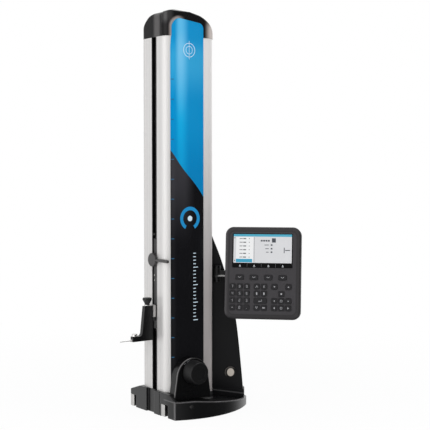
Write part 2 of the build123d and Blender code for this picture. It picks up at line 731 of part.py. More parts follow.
def carriage_frame():
    z0, z1 = CARRIAGE_Z
    plate = block(CARRIAGE_X0, CARRIAGE_X1, -CARRIAGE_W / 2, CARRIAGE_W / 2, z0, z1)
    width, height = CARRIAGE_WINDOW
    mid = jaw_middle()
    run = CORE_X - PULLEY_R - BELT_T / 2
    jaw_z = (mid - JAW_L / 2, mid + JAW_L / 2)
    edge = BELT_Y + BELT_W + PULLEY_FLANGE_T
    plate += block(CARRIAGE_X0, CARRIAGE_X1, CARRIAGE_W / 2, edge, *jaw_z)
    plate += block(CARRIAGE_X1, run + JAW_MARGIN, BELT_Y - PULLEY_FLANGE_T, edge, *jaw_z)
    plate -= belt_gap(run, *jaw_z)
    depth = HEAD_SIZE[1]
    y0 = -CORE_REAR - SCALE_T - HEAD_GAP - depth
    plate += block(CARRIAGE_X0, CARRIAGE_X1, y0, -CARRIAGE_W / 2, *jaw_z)
    low = jaw_z[1] + JAW_MARGIN
    plate -= block(CARRIAGE_X0 - 1, CARRIAGE_X1 + 1, -width / 2, width / 2, low, low + height)
    return plate - rod_x(LOCK_STEM_R + FIT, CARRIAGE_X0 - 1, CARRIAGE_X1 - LOCK_HOLE_END, 0, LOCK_Z)


def rail_blocks():
    blocks = []
    z0, z1 = CARRIAGE_Z
    half = RAIL_W / 2 + SLIDE
    for low in (z0 + BLOCK_INSET, z1 - BLOCK_INSET - BLOCK_L):
        item = block(BLOCK_X0, BLOCK_X1, -BLOCK_W / 2, BLOCK_W / 2, low, low + BLOCK_L)
        blocks.append(item - block(RAIL_X - SLIDE, BLOCK_X1 + 1, -half, half, low - 1, low + BLOCK_L + 1))
    return blocks


def reading_head():
    length, depth, height = HEAD_SIZE
    mid = jaw_middle()
    y1 = -CORE_REAR - SCALE_T - HEAD_GAP
    return block(CARRIAGE_X1, CARRIAGE_X1 + length, y1 - depth, y1, mid - height / 2, mid + height / 2)


def carriage_cover():
    z0, z1 = CARRIAGE_Z
    x0 = FACE_X + COVER_SETBACK
    cover = block(x0, CARRIAGE_X0, -PASS_HALF, PASS_HALF, z0 + COVER_LIFT, z1)
    low, high = MOUNT_Z
    cover -= block(x0 - 1, CARRIAGE_X0 + 1, -PASS_HALF - 1, PASS_HALF + 1, low - SLIDE, high + SLIDE)
    return cover - rod_x(LOCK_STEM_R + FIT, x0 - 1, CARRIAGE_X0 + 1, 0, LOCK_Z)


def probe_mount():
    z0, z1 = MOUNT_Z
    stem = block(ARM_X, CARRIAGE_X0, -PASS_HALF, PASS_HALF, z0, z1)
    x1 = ARM_X + MOUNT_FLANGE_T
    half = PASS_HALF + MOUNT_FLANGE_LAP
    below, above = MOUNT_FLANGE_STEP
    return stem + block(ARM_X, x1, -half, half, z0 + below, z1 - above)


def probe_arm():
    z0, z1 = ARM_FOOT_Z
    top = ARM_TOP_Z
    face = make_face(Polyline(
        (ARM_X, z0),
        (ARM_X, top),
        (ARM_X - ARM_TOP_W, top),
        (ARM_X - ARM_FOOT_W, z1),
        (ARM_END_X, z1),
        (ARM_END_X, z0),
        close=True))
    inner = face.vertices().sort_by_distance((ARM_X - ARM_FOOT_W, z1))[0]
    face = Plane.XZ * fillet(inner, ARM_FILLET)
    arm = Pos(0, ARM_T / 2, 0) * extrude(face, ARM_T)
    arm -= rod_z(CLAMP_STEM_R + FIT, top - CLAMP_STEM_L - 1, top + 1, ARM_X - CLAMP_INSET, 0)
    arm -= rod_x(STYLUS_SHANK_R + FIT, ARM_END_X - 1, ARM_END_X + STYLUS_SHANK_L, 0, STYLUS_Z)
    x = ARM_END_X + STYLUS_SCREW_X
    return arm - rod_z(STYLUS_SHANK_R + FIT, STYLUS_Z + STYLUS_SHANK_R + 1, z1 + 1, x, 0)


def stylus():
    shank = rod_x(STYLUS_SHANK_R, ARM_END_X, ARM_END_X + STYLUS_SHANK_L - 1, 0, STYLUS_Z)
    middle = Pos(ARM_END_X - STYLUS_CONE_L / 2, 0, STYLUS_Z)
    cone = middle * Rotation(0, -90, 0) * Cone(STYLUS_CONE_R, STYLUS_ROD_R, STYLUS_CONE_L)
    tip = ARM_END_X - STYLUS_CONE_L - STYLUS_L
    rod = rod_x(STYLUS_ROD_R, tip, ARM_END_X - STYLUS_CONE_L, 0, STYLUS_Z)
    return shank + cone + rod + Pos(tip, 0, STYLUS_Z) * Sphere(STYLUS_BALL_R)


def stylus_clamp_screw():
    x = ARM_END_X + STYLUS_SCREW_X
    z = ARM_FOOT_Z[1] + SLIDE
    head = rod_z(STYLUS_SCREW_R, z, z + STYLUS_SCREW_H, x, 0)
    head = chamfer(head.edges().group_by(Axis.Z)[-1], STYLUS_SCREW_EDGE)
    return head + rod_z(STYLUS_SHANK_R, STYLUS_Z + STYLUS_SHANK_R + 1 + SLIDE, z, x, 0)


def probe_clamp_knob():
    x = ARM_X - CLAMP_INSET
    z = ARM_TOP_Z + SLIDE
    stem = rod_z(CLAMP_STEM_R, ARM_TOP_Z - CLAMP_STEM_L, z, x, 0)
    collar = rod_z(CLAMP_COLLAR_R, z, z + CLAMP_COLLAR_H, x, 0)
    z += CLAMP_COLLAR_H
    cone = Pos(x, 0, z + CLAMP_FLARE_H / 2) * Cone(CLAMP_COLLAR_R - 1, CLAMP_KNOB_R, CLAMP_FLARE_H)
    head = rod_z(CLAMP_KNOB_R, z + CLAMP_FLARE_H, z + CLAMP_KNOB_H, x, 0)
    head = fillet(head.edges().group_by(Axis.Z)[-1], CLAMP_EDGE_R)
    return stem + collar + cone + head


def lock_lever():
    x1 = FACE_X - LOCK_GAP
    x0 = x1 - LOCK_DISC_T
    mid = (x0 + x1) / 2
    disc = rod_x(LOCK_DISC_R, x0, x1, 0, LOCK_Z)
    disc = fillet(disc.edges().group_by(Axis.X)[0], LOCK_EDGE_R)
    stem = rod_x(LOCK_STEM_R, x1, CARRIAGE_X1 - LOCK_HOLE_END - 1, 0, LOCK_Z)
    bar = rod_y(LOCK_ROD_R, -LOCK_REACH + LOCK_GRIP_L, -LOCK_DISC_R / 2, mid, LOCK_Z)
    grip = rod_y(min(LOCK_GRIP_R, LOCK_DISC_T / 2), -LOCK_REACH, -LOCK_REACH + LOCK_GRIP_L, mid, LOCK_Z)
    grip = fillet(grip.edges().group_by(Axis.Y)[0], LOCK_GRIP_EDGE_R)
    return disc + stem + bar + grip


# ================================================================ control wheel
def dome_mass(inset):
    """A round crown whose sides run straight down from it to the foot."""
    low = RIM_H - DOME_SINK
    radius = DOME_CROWN_R - inset
    foot = DOME_FOOT_HALF - inset
    crown_z = DOME_TOP_Z - DOME_CROWN_R
    turn = acos(radius / hypot(foot, low - crown_z)) + atan2(low - crown_z, foot)
    side = radius * cos(turn)
    side_z = crown_z + radius * sin(turn)
    wires = [
        Line((DOME_X + foot, low), (DOME_X - foot, low)),
        Line((DOME_X - foot, low), (DOME_X - side, side_z)),
        ThreePointArc((DOME_X - side, side_z), (DOME_X, crown_z + radius), (DOME_X + side, side_z)),
        Line((DOME_X + side, side_z), (DOME_X + foot, low)),
    ]
    y1 = FRONT_Y - FILM_T - SLIDE
    return side_face(wires, DOME_FRONT_Y + inset, y1 + (1 if inset else 0))


def wheel_dome():
    dome = dome_mass(0)
    front = dome.edges().filter_by_position(Axis.Y, DOME_FRONT_Y - 0.1, DOME_FRONT_Y + 0.1)
    dome = fillet(front.sort_by(Axis.Z)[1:], DOME_EDGE_R)
    dome -= dome_mass(DOME_WALL)
    dome -= rod_y(WHEEL_SHAFT_R + SLIDE, DOME_FRONT_Y - 1, DOME_FRONT_Y + DOME_WALL + 1, WHEEL_X, WHEEL_Z)
    return dome - base_casting()


def jog_encoder():
    width, depth, height = ENCODER
    y0 = DOME_FRONT_Y + DOME_WALL
    sides = (WHEEL_X - width / 2, WHEEL_X + width / 2)
    body = block(*sides, y0, y0 + depth, WHEEL_Z - height / 2, WHEEL_Z + height / 2)
    return body - rod_y(WHEEL_SHAFT_R + FIT, y0 - 1, y0 + depth - 2, WHEEL_X, WHEEL_Z)


def jog_wheel():
    y0 = WHEEL_BACK_Y
    y1 = y0 - WHEEL_L
    wheel = rod_y(WHEEL_R, y0 - WHEEL_SKIRT, y0, WHEEL_X, WHEEL_Z)
    wheel += cone_y(WHEEL_R, WHEEL_FACE_R, y0 - WHEEL_SKIRT, y1, WHEEL_X, WHEEL_Z)
    wheel = fillet(wheel.edges().group_by(Axis.Y)[0], WHEEL_EDGE_R)
    wheel -= rod_y(WHEEL_DISH_R, y1 - 1, y1 + WHEEL_DISH_DEPTH, WHEEL_X, WHEEL_Z)
    inner = y0 + WHEEL_GAP + DOME_WALL + ENCODER[1] - 3
    return wheel + rod_y(WHEEL_SHAFT_R, y0 - 1, inner, WHEEL_X, WHEEL_Z)


# ================================================================ grip housing
def grip_plan(grow):
    """A narrow neck that flares towards the back, seen from above."""
    x0 = -FACE_X + SLIDE
    neck = GRIP_NECK_HALF + grow
    spread = GRIP_FLARE * (GRIP_FLARE_X - GRIP_NECK_X)
    flare = GRIP_NECK_HALF + spread + grow * hypot(1, GRIP_FLARE)
    half = [(x0, neck), (GRIP_NECK_X, neck), (GRIP_FLARE_X, flare)]
    points = [(x, -y) for x, y in half] + list(reversed(half))
    face = make_face(Polyline(*points, close=True))
    corners = face.vertices().filter_by_position(Axis.X, GRIP_NECK_X - 1, GRIP_NECK_X + 1)
    return fillet(corners, GRIP_NECK_R - grow)


def grip_mass(grow):
    """A vertical prism cut by a stack of equal circles that leans towards the column."""
    rings = [Pos(x, 0, z) * Circle(GRIP_R + grow) for x, z in GRIP_CENTRES]
    lean = loft(rings)
    low = GRIP_CENTRES[0][1]
    high = GRIP_CENTRES[-1][1]
    foot = Pos(GRIP_CENTRES[0][0], 0, low / 2) * Cylinder(GRIP_R + grow, low)
    return extrude(grip_plan(grow), high + 10) & (lean + foot)


def grip_body():
    body = grip_mass(0)
    foot = extrude(grip_plan(GRIP_FOOT_EDGE), GRIP_FOOT_H)
    foot &= Pos(GRIP_CENTRES[0][0], 0, GRIP_FOOT_H / 2) * Cylinder(GRIP_R + GRIP_FOOT_EDGE, GRIP_FOOT_H)
    hollow = grip_mass(-GRIP_WALL) & block(-FACE_X + GRIP_NECK_WALL, FAR, -FAR, FAR, -1, GRIP_CENTRES[-2][1])
    body = (body + foot) - hollow
    body -= base_casting()
    return body & block(-FACE_X + SLIDE, FAR, -FAR, FAR, 0, FAR)


def button_plane():
    """A plane on the flared front face, with its normal pointing out."""
    slope = hypot(1, GRIP_FLARE)
    x = GRIP_NECK_X + BUTTON_ALONG / slope
    y = -GRIP_NECK_HALF - BUTTON_ALONG * GRIP_FLARE / slope
    normal = (-GRIP_FLARE / slope, -1 / slope, 0)
    return Plane(origin=(x, y, BUTTON_Z), x_dir=(0, 0, 1), z_dir=normal)


def button_rod(radius, low, high):
    """A rod along the button's axis, from low to high above the face."""
    return button_plane() * Pos(0, 0, (low + high) / 2) * Cylinder(radius, high - low)


def grip_shell_front(body):
    shell = body & block(-FAR, FAR, -FAR, 0, -1, FAR)
    return shell - button_rod(BEZEL_R + SEAT, -BEZEL_L - 5, 10)


def grip_shell_rear(body):
    shell = body & block(-FAR, FAR, 0, FAR, -1, FAR)
    for z in GRIP_SCREW_Z:
        shell -= rod_y(SCREW_R + SEAT, GRIP_NECK_HALF - SCREW_L - 1, FAR, GRIP_SCREW_X, z)
    return shell


def button_bezel():
    ring = button_rod(BEZEL_R, BEZEL_PROUD - BEZEL_L, BEZEL_PROUD)
    return ring - button_rod(BUTTON_R + SLIDE, BEZEL_PROUD - BEZEL_L + BEZEL_FLOOR, BEZEL_PROUD + 1)


def air_button():
    return button_rod(BUTTON_R, BUTTON_PROUD - BUTTON_L, BUTTON_PROUD)


def battery_pack():
    return block(*BATTERY_X, *BATTERY_Y, *BATTERY_Z) - base_casting()


def housing_screws():
    screws = []
    y = GRIP_NECK_HALF + SEAT
    for z in GRIP_SCREW_Z:
        head = rod_y(SCREW_HEAD_R, y, y + SCREW_HEAD_H, GRIP_SCREW_X, z)
        screws.append(head + rod_y(SCREW_R, y - SCREW_L, y, GRIP_SCREW_X, z))
    x = -FACE_X + BRACKET_T + SEAT
    for y, z in bracket_screw_places():
        head = rod_x(SCREW_HEAD_R, x, x + SCREW_HEAD_H, y, z)
        screws.append(head + rod_x(SCREW_R, x - BRACKET_T, x, y, z))
    return screws


def charging_socket():
    y = COLUMN_D / 2
    body = rod_y(SOCKET_R, y - SOCKET_L, y, SOCKET_X, SOCKET_Z)
    body += rod_y(SOCKET_FLANGE_R, y, y + SOCKET_FLANGE_T, SOCKET_X, SOCKET_Z)
    top = y + SOCKET_FLANGE_T
    return body - rod_y(JACK_R, top - JACK_DEPTH, top + 1, SOCKET_X, SOCKET_Z)


# ================================================================ panel arm
def tilt_place(x):
    return (PANEL_PLACE * Pos(x, HINGE_Y, 0)).position


def hub_levels():
    middle = tilt_place(0).Z
    return middle - HUB_H / 2, middle + HUB_H / 2


def bracket_levels():
    middle = tilt_place(0).Z - BRACKET_DROP
    return middle - BRACKET_H / 2, middle + BRACKET_H / 2


def bracket_screw_places():
    z0, z1 = bracket_levels()
    y = sum(BRACKET_Y) / 2
    return [(y, z0 + 2 * SCREW_HEAD_R), (y, z1 - 2 * SCREW_HEAD_R)]


def arm_bracket():
    x0 = -FACE_X
    y0, y1 = BRACKET_Y
    body = block(x0, x0 + BRACKET_T, y0, y1, *bracket_levels())
    low, high = hub_levels()
    for ear in ((low - SLIDE - EAR_T, low - SLIDE), (high + SLIDE, high + SLIDE + EAR_T)):
        body += rod_z(SWIVEL_R, ear[0], ear[1], SWIVEL_X, SWIVEL_Y)
        body += block(x0 + 1, SWIVEL_X, SWIVEL_Y + 1, y1, ear[0], ear[1])
    body += rod_z(SWIVEL_PIN_R, low - EAR_T, high + EAR_T, SWIVEL_X, SWIVEL_Y)
    for y, z in bracket_screw_places():
        body -= rod_x(SCREW_R + SEAT, x0 - 1, x0 + BRACKET_T + 1, y, z)
    return body


def swivel_arm():
    low, high = hub_levels()
    bend = tilt_place(ARM_BEND_X)
    dx = bend.X - SWIVEL_X
    dy = bend.Y - SWIVEL_Y
    reach = hypot(dx, dy)
    width, height = ARM_BAR
    plane = Plane(origin=(SWIVEL_X, SWIVEL_Y, bend.Z), x_dir=(dx, dy, 0), z_dir=(0, 0, 1))
    bar = plane * Pos(reach / 2, 0, 0) * Box(reach, width, height)
    elbow = rod_z(height / 2, bend.Z - height / 2, bend.Z + height / 2, bend.X, bend.Y)
    hub = rod_z(SWIVEL_R, low, high, SWIVEL_X, SWIVEL_Y)
    end = EAR_X + EAR_W / 2 + SLIDE
    shaft = rod_x(TILT_SHAFT_R, ARM_BEND_X, end + TILT_COLLAR_T, HINGE_Y, 0)
    shaft += rod_x(EAR_R - 1, end, end + TILT_COLLAR_T, HINGE_Y, 0)
    arm = bar + hub + elbow + PANEL_PLACE * shaft
    return arm - rod_z(SWIVEL_PIN_R + FIT, low - 10, high + 10, SWIVEL_X, SWIVEL_Y)


# ================================================================ control panel
def panel_slab(y0, y1, inset=0.0):
    return round_box(PANEL_W - 2 * inset, PANEL_H - 2 * inset, PANEL_CORNER_R - inset, y0, y1)


def soft_key_places():
    return [(SOFT_KEY_X + SOFT_KEY_PITCH * i, SOFT_KEY_Z) for i in range(4)]


def number_key_places():
    dx, dz = PAD_PITCH
    return [(PAD_KEY_X + dx * c, PAD_KEY_Z - dz * r) for r in range(PAD_ROWS) for c in range(PAD_COLUMNS)]


def function_key_places():
    """Two columns of keys with one wide key in the third row: (x, z, width)."""
    dz = PAD_PITCH[1]
    width = PAD_KEY[0]
    places = []
    for row in (0, 1, 3):
        for column in (0, 1):
            places.append((FUNCTION_X + FUNCTION_PITCH * column, PAD_KEY_Z - dz * row, width))
    places.append((FUNCTION_X + FUNCTION_PITCH / 2, PAD_KEY_Z - dz * 2, width + FUNCTION_PITCH))
    return places


def cursor_key_places():
    """Two outer keys, one below between them, and two rows of three."""
    dx, dz = CURSOR_PITCH, PAD_PITCH[1]
    width = PAD_KEY[0]
    places = [(CURSOR_X, PAD_KEY_Z, width), (CURSOR_X + 2 * dx, PAD_KEY_Z, width)]
    places.append((CURSOR_X + dx, PAD_KEY_Z - dz, width))
    for row in (2, 3):
        for column in range(3):
            places.append((CURSOR_X + dx * column, PAD_KEY_Z - dz * row, width))
    return places


def key_body(x, z, width, height, grow=0.0, y0=None, y1=None):
    top = PANEL_FACE - KEY_PROUD if y0 is None else y0
    foot = top + KEY_DEPTH if y1 is None else y1
    return round_box(width + 2 * grow, height + 2 * grow, KEY_R + grow, top, foot, x, z)


def panel_front_shell():
    shell = panel_slab(PANEL_FACE, PANEL_SEAM)
    rim = shell.edges().group_by(Axis.Y)[0]
    shell = fillet(rim, PANEL_EDGE_R)
    shell -= panel_slab(PANEL_FACE + PANEL_WALL + 1, PANEL_SEAM + 1, PANEL_WALL)
    width, height, depth = DISPLAY
    window = (width + 2 * SEAT, height + 2 * SEAT, DISPLAY_R)
    shell -= round_box(*window, PANEL_FACE - 1, PANEL_SEAM + 1, DISPLAY_X, DISPLAY_Z)
    for x, z in soft_key_places():
        shell -= key_body(x, z, *SOFT_KEY, grow=SLIDE, y0=PANEL_FACE - 1, y1=PANEL_SEAM)
    for x, z in number_key_places():
        shell -= key_body(x, z, *PAD_KEY, grow=SLIDE, y0=PANEL_FACE - 1, y1=PANEL_SEAM)
    for x, z, wide in function_key_places() + cursor_key_places():
        shell -= key_body(x, z, wide, PAD_KEY[1], grow=SLIDE, y0=PANEL_FACE - 1, y1=PANEL_SEAM)
    return PANEL_PLACE * shell


def panel_rear_shell():
    shell = panel_slab(PANEL_SEAM, PANEL_BACK)
    shell = fillet(shell.edges().group_by(Axis.Y)[-1], PANEL_EDGE_R)
    shell -= panel_slab(PANEL_SEAM - 1, PANEL_BACK - PANEL_WALL, PANEL_WALL)
    for x in (-EAR_X, EAR_X):
        x0 = x - EAR_W / 2
        x1 = x + EAR_W / 2
        shell += block(x0, x1, PANEL_BACK - 1, HINGE_Y, -EAR_R, EAR_R) + rod_x(EAR_R, x0, x1, HINGE_Y, 0)
    shell -= rod_x(TILT_SHAFT_R + FIT, -PANEL_W / 2, PANEL_W / 2, HINGE_Y, 0)
    return PANEL_PLACE * shell


def display():
    width, height, depth = DISPLAY
    y0 = PANEL_FACE + DISPLAY_SEAT
    return PANEL_PLACE * round_box(width, height, DISPLAY_R, y0, y0 + depth, DISPLAY_X, DISPLAY_Z)


def main():
    os.makedirs("parts", exist_ok=True)
    grip = grip_body()
    pieces = {
        "base_casting": base_casting(),
        "air_bearing_pads": air_bearing_pads(),
        "guide_pads": guide_pads(),
        "column_core": column_core(),
        "guide_rail": guide_rail(),
        "glass_scale": glass_scale(),
        "front_casing": front_casing(),
        "rear_casing": rear_casing(),
        "slot_liners": slot_liners(),
        "front_film": front_film(),
        "top_cap_rear": top_cap_rear(),
        "top_cap_frame": top_cap_frame(),
        "drive_motor": drive_motor(),
        "drive_belt": drive_belt(),
        "drive_pulley": drive_pulley(),
        "top_pulley": top_pulley(),
        "counterweight": counterweight(),
        "carriage_frame": carriage_frame(),
        "rail_blocks": rail_blocks(),
        "reading_head": reading_head(),
        "carriage_cover": carriage_cover(),
        "probe_mount": probe_mount(),
        "probe_arm": probe_arm(),
        "probe_clamp_knob": probe_clamp_knob(),
        "stylus": stylus(),
        "stylus_clamp_screw": stylus_clamp_screw(),
        "lock_lever": lock_lever(),
        "wheel_dome": wheel_dome(),
        "jog_encoder": jog_encoder(),
        "jog_wheel": jog_wheel(),
        "grip_shell_front": grip_shell_front(grip),
        "grip_shell_rear": grip_shell_rear(grip),
        "button_bezel": button_bezel(),
        "air_button": air_button(),
        "battery_pack": battery_pack(),
        "housing_screws": housing_screws(),
        "charging_socket": charging_socket(),
        "arm_bracket": arm_bracket(),
        "swivel_arm": swivel_arm(),
        "panel_rear_shell": panel_rear_shell(),
        "panel_front_shell": panel_front_shell(),
        "display": display(),
    }
    for index, (x, z) in enumerate(soft_key_places(), 1):
        pieces[f"soft_key_{index}"] = PANEL_PLACE * key_body(x, z, *SOFT_KEY)
    for index, (x, z) in enumerate(number_key_places(), 1):
        pieces[f"number_key_{index:02d}"] = PANEL_PLACE * key_body(x, z, *PAD_KEY)
    keys = [PANEL_PLACE * key_body(x, z, wide, PAD_KEY[1]) for x, z, wide in function_key_places()]
    pieces["function_keys"] = keys
    keys = [PANEL_PLACE * key_body(x, z, wide, PAD_KEY[1]) for x, z, wide in cursor_key_places()]
    pieces["cursor_keys"] = keys
    for name, piece in pieces.items():
        solids = piece if isinstance(piece, list) else [piece]
        solids = [solid for item in solids for solid in item.solids()]
        export_step(solids[0] if len(solids) == 1 else Compound(children=solids), f"parts/{name}.step")


if __name__ == "__main__":
    main()
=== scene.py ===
from math import atan2, cos, pi, radians, sin, sqrt

import bmesh
import bpy
from mathutils import Euler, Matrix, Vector


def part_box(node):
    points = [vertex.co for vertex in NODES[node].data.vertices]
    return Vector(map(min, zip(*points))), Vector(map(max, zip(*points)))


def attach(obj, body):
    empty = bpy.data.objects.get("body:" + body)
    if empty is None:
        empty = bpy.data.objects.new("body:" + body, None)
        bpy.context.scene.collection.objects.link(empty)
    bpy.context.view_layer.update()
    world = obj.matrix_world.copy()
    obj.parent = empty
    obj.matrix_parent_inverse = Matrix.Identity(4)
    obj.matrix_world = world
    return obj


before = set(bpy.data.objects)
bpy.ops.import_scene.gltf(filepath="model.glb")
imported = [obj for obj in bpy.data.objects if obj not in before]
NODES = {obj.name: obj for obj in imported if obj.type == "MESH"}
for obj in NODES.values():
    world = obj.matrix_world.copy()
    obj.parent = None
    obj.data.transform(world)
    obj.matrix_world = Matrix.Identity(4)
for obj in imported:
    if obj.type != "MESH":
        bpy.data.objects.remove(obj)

# Looks of the height gauge: camera, studio, materials and the printed and knurled details.
# The frame of the solids: +Z up, probe on -X, control wheel on -Y, grip on +X. Materials measure
# in metres; outlines and places of the added pieces are in millimetres.
MM = 0.001
X_AXIS, Y_AXIS, Z_AXIS = (1, 0, 0), (0, 1, 0), (0, 0, 1)


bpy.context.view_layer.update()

# ---------------------------------------------------------------- camera
CAMERA_PLACE = (-1.4688, -2.1710, 0.6208)
CAMERA_PITCH = 87.5         # degrees up from looking straight down
CAMERA_HEADING = -36.15     # degrees about +Z from looking along +Y
CAMERA_REACH = 60.0
SENSOR_WIDTH = 36.0         # mm
LENS = 84.54                # mm

scene = bpy.context.scene
camera_data = bpy.data.cameras.new("camera")
camera_data.sensor_width = SENSOR_WIDTH
camera_data.lens = LENS
camera_data.clip_end = CAMERA_REACH
camera = bpy.data.objects.new("camera", camera_data)
camera.location = CAMERA_PLACE
camera.rotation_euler = Euler((radians(CAMERA_PITCH), 0, radians(CAMERA_HEADING)))
scene.collection.objects.link(camera)
scene.camera = camera
scene.view_settings.view_transform = "Standard"


# ---------------------------------------------------------------- node helpers
def srgb(r, g, b):
    """A screen colour, 0 to 255, as the linear colour that a shader takes."""
    def lin(c):
        c /= 255.0
        return c / 12.92 if c <= 0.04045 else ((c + 0.055) / 1.055) ** 2.4
    return (lin(r), lin(g), lin(b), 1.0)


def shade(colour, factor):
    return tuple(min(1.0, c * factor) for c in colour[:3]) + (1.0,)


class Nodes:
    """Builds a node tree; place is the coordinate in which its distances and noises are measured."""

    def __init__(self, tree, coordinate):
        self.tree = tree
        self.tree.nodes.clear()
        self.place = self.node("ShaderNodeTexCoord").outputs[coordinate]

    def node(self, kind, **props):
        n = self.tree.nodes.new(kind)
        for key, value in props.items():
            setattr(n, key, value)
        return n

    def link(self, a, b):
        self.tree.links.new(a, b)

    def feed(self, socket, value):
        if isinstance(value, bpy.types.NodeSocket):
            self.link(value, socket)
        else:
            socket.default_value = value

    def math(self, operation, *values):
        n = self.node("ShaderNodeMath", operation=operation)
        for socket, value in zip(n.inputs, values):
            self.feed(socket, value)
        return n.outputs[0]

    def plus(self, a, b):
        return self.math("ADD", a, b)

    def minus(self, a, b):
        return self.math("SUBTRACT", a, b)

    def larger(self, a, b):
        return self.math("MAXIMUM", a, b)

    def times(self, product, *factors):
        for factor in factors:
            product = self.math("MULTIPLY", product, factor)
        return product

    def scaled(self, value, factor, shift):
        """value * factor + shift."""
        return self.math("MULTIPLY_ADD", value, factor, shift)

    def past(self, value, edge):
        """How far value lies beyond edge, and 0 before it."""
        return self.larger(self.minus(value, edge), 0.0)

    def hypot(self, a, b):
        return self.math("SQRT", self.plus(self.times(a, a), self.times(b, b)))

    def dot(self, direction, origin=(0, 0, 0)):
        """Distance along a direction from a point, in metres."""
        n = self.node("ShaderNodeVectorMath", operation="SUBTRACT")
        self.link(self.place, n.inputs[0])
        n.inputs[1].default_value = origin
        d = self.node("ShaderNodeVectorMath", operation="DOT_PRODUCT")
        self.link(n.outputs[0], d.inputs[0])
        d.inputs[1].default_value = direction
        return d.outputs["Value"]

    def ramp(self, value, start, end, low=0.0, high=1.0):
        """Goes smoothly from low at start to high at end."""
        n = self.node("ShaderNodeMapRange", interpolation_type="SMOOTHSTEP")
        self.feed(n.inputs["Value"], value)
        n.inputs["From Min"].default_value = start
        n.inputs["From Max"].default_value = end
        n.inputs["To Min"].default_value = low
        n.inputs["To Max"].default_value = high
        return n.outputs[0]

    def fall(self, value, start, end):
        """1 up to start and 0 beyond end."""
        return self.ramp(value, start, end, 1.0, 0.0)

    def band(self, value, start, full, fade, end):
        """1 between full and fade, and 0 before start and beyond end."""
        return self.times(self.ramp(value, start, full), self.fall(value, fade, end))


class Material(Nodes):
    """One material round a principled shader, measured in the object's own coordinates."""

    BEVEL_SAMPLES = 6

    def __init__(self, name):
        self.mat = bpy.data.materials.new(name)
        self.mat.use_nodes = True
        super().__init__(self.mat.node_tree, "Object")
        self.out = self.node("ShaderNodeOutputMaterial")
        self.bsdf = self.node("ShaderNodeBsdfPrincipled")
        self.link(self.bsdf.outputs[0], self.out.inputs["Surface"])

    def set(self, **values):
        for key, value in values.items():
            self.feed(self.bsdf.inputs[key.replace("_", " ")], value)

    def noise(self, scale, detail=3.0, rough=0.5, stretch=None):
        n = self.node("ShaderNodeTexNoise")
        self.link(self.stretched(stretch) if stretch else self.place, n.inputs["Vector"])
        n.inputs["Scale"].default_value = scale
        n.inputs["Detail"].default_value = detail
        n.inputs["Roughness"].default_value = rough
        return n.outputs[0]

    def stretched(self, scale):
        n = self.node("ShaderNodeMapping")
        self.link(self.place, n.inputs["Vector"])
        n.inputs["Scale"].default_value = scale
        return n.outputs[0]

    def between(self, fac, low, high):
        """A number that goes from low to high as fac goes from 0 to 1."""
        n = self.node("ShaderNodeMapRange")
        self.link(fac, n.inputs["Value"])
        n.inputs["To Min"].default_value = low
        n.inputs["To Max"].default_value = high
        return n.outputs[0]

    def mix(self, fac, a, b):
        n = self.node("ShaderNodeMix", data_type="RGBA")
        self.feed(n.inputs[0], fac)
        self.feed(n.inputs[6], a)
        self.feed(n.inputs[7], b)
        return n.outputs[2]

    def tint(self, mask, colour):
        """Mixes another colour into the finish where the mask is 1."""
        was = self.bsdf.inputs["Base Color"].links[0].from_socket
        self.set(Base_Color=self.mix(mask, was, colour))

    def bump(self, height, strength, distance, edge=0.0, over=None):
        """Relief from a height; edge rounds the sharp edges of the solid by that radius in metres."""
        n = self.node("ShaderNodeBump")
        self.link(height, n.inputs["Height"])
        n.inputs["Strength"].default_value = strength
        n.inputs["Distance"].default_value = distance
        if edge:
            b = self.node("ShaderNodeBevel", samples=self.BEVEL_SAMPLES)
            b.inputs["Radius"].default_value = edge
            over = b.outputs[0]
        if over is not None:
            self.link(over, n.inputs["Normal"])
        self.link(n.outputs[0], self.bsdf.inputs["Normal"])
        return n.outputs[0]


PATCH_SCALE = 9.0           # of the slow colour variation
GLOSS_SPREAD = 0.07         # roughness varies by this much either way
GRAIN_DEPTH = 0.00004
FINE_DEPTH = 0.00003


def surface(name, colour, rough, metal=0.0, spec=0.5, vary=0.25, grain=700.0, strength=0.35,
            stretch=None, edge=0.0008):
    """A finish with slow colour variation, a fine grain and uneven gloss."""
    g = Material(name)
    slow = g.noise(PATCH_SCALE, 2.0)
    fine = g.noise(grain, 3.0, 0.6, stretch)
    tone = g.mix(slow, shade(colour, 1 - vary), shade(colour, 1 + vary))
    gloss = g.plus(g.times(slow, 0.6), g.times(fine, 0.4))
    g.set(Base_Color=g.mix(g.between(fine, 0.0, 0.35), tone, shade(colour, 1 + 1.6 * vary)))
    g.set(Roughness=g.between(gloss, rough - GLOSS_SPREAD, rough + GLOSS_SPREAD))
    g.set(Metallic=metal, Specular_IOR_Level=spec)
    g.bump(fine, strength, GRAIN_DEPTH, edge)
    return g


# ---------------------------------------------------------------- plain materials
BARE_STEEL = (0.62, 0.61, 0.60, 1)
BARE_ALU = (0.60, 0.59, 0.58, 1)
DULL_STEEL = (0.50, 0.49, 0.48, 1)

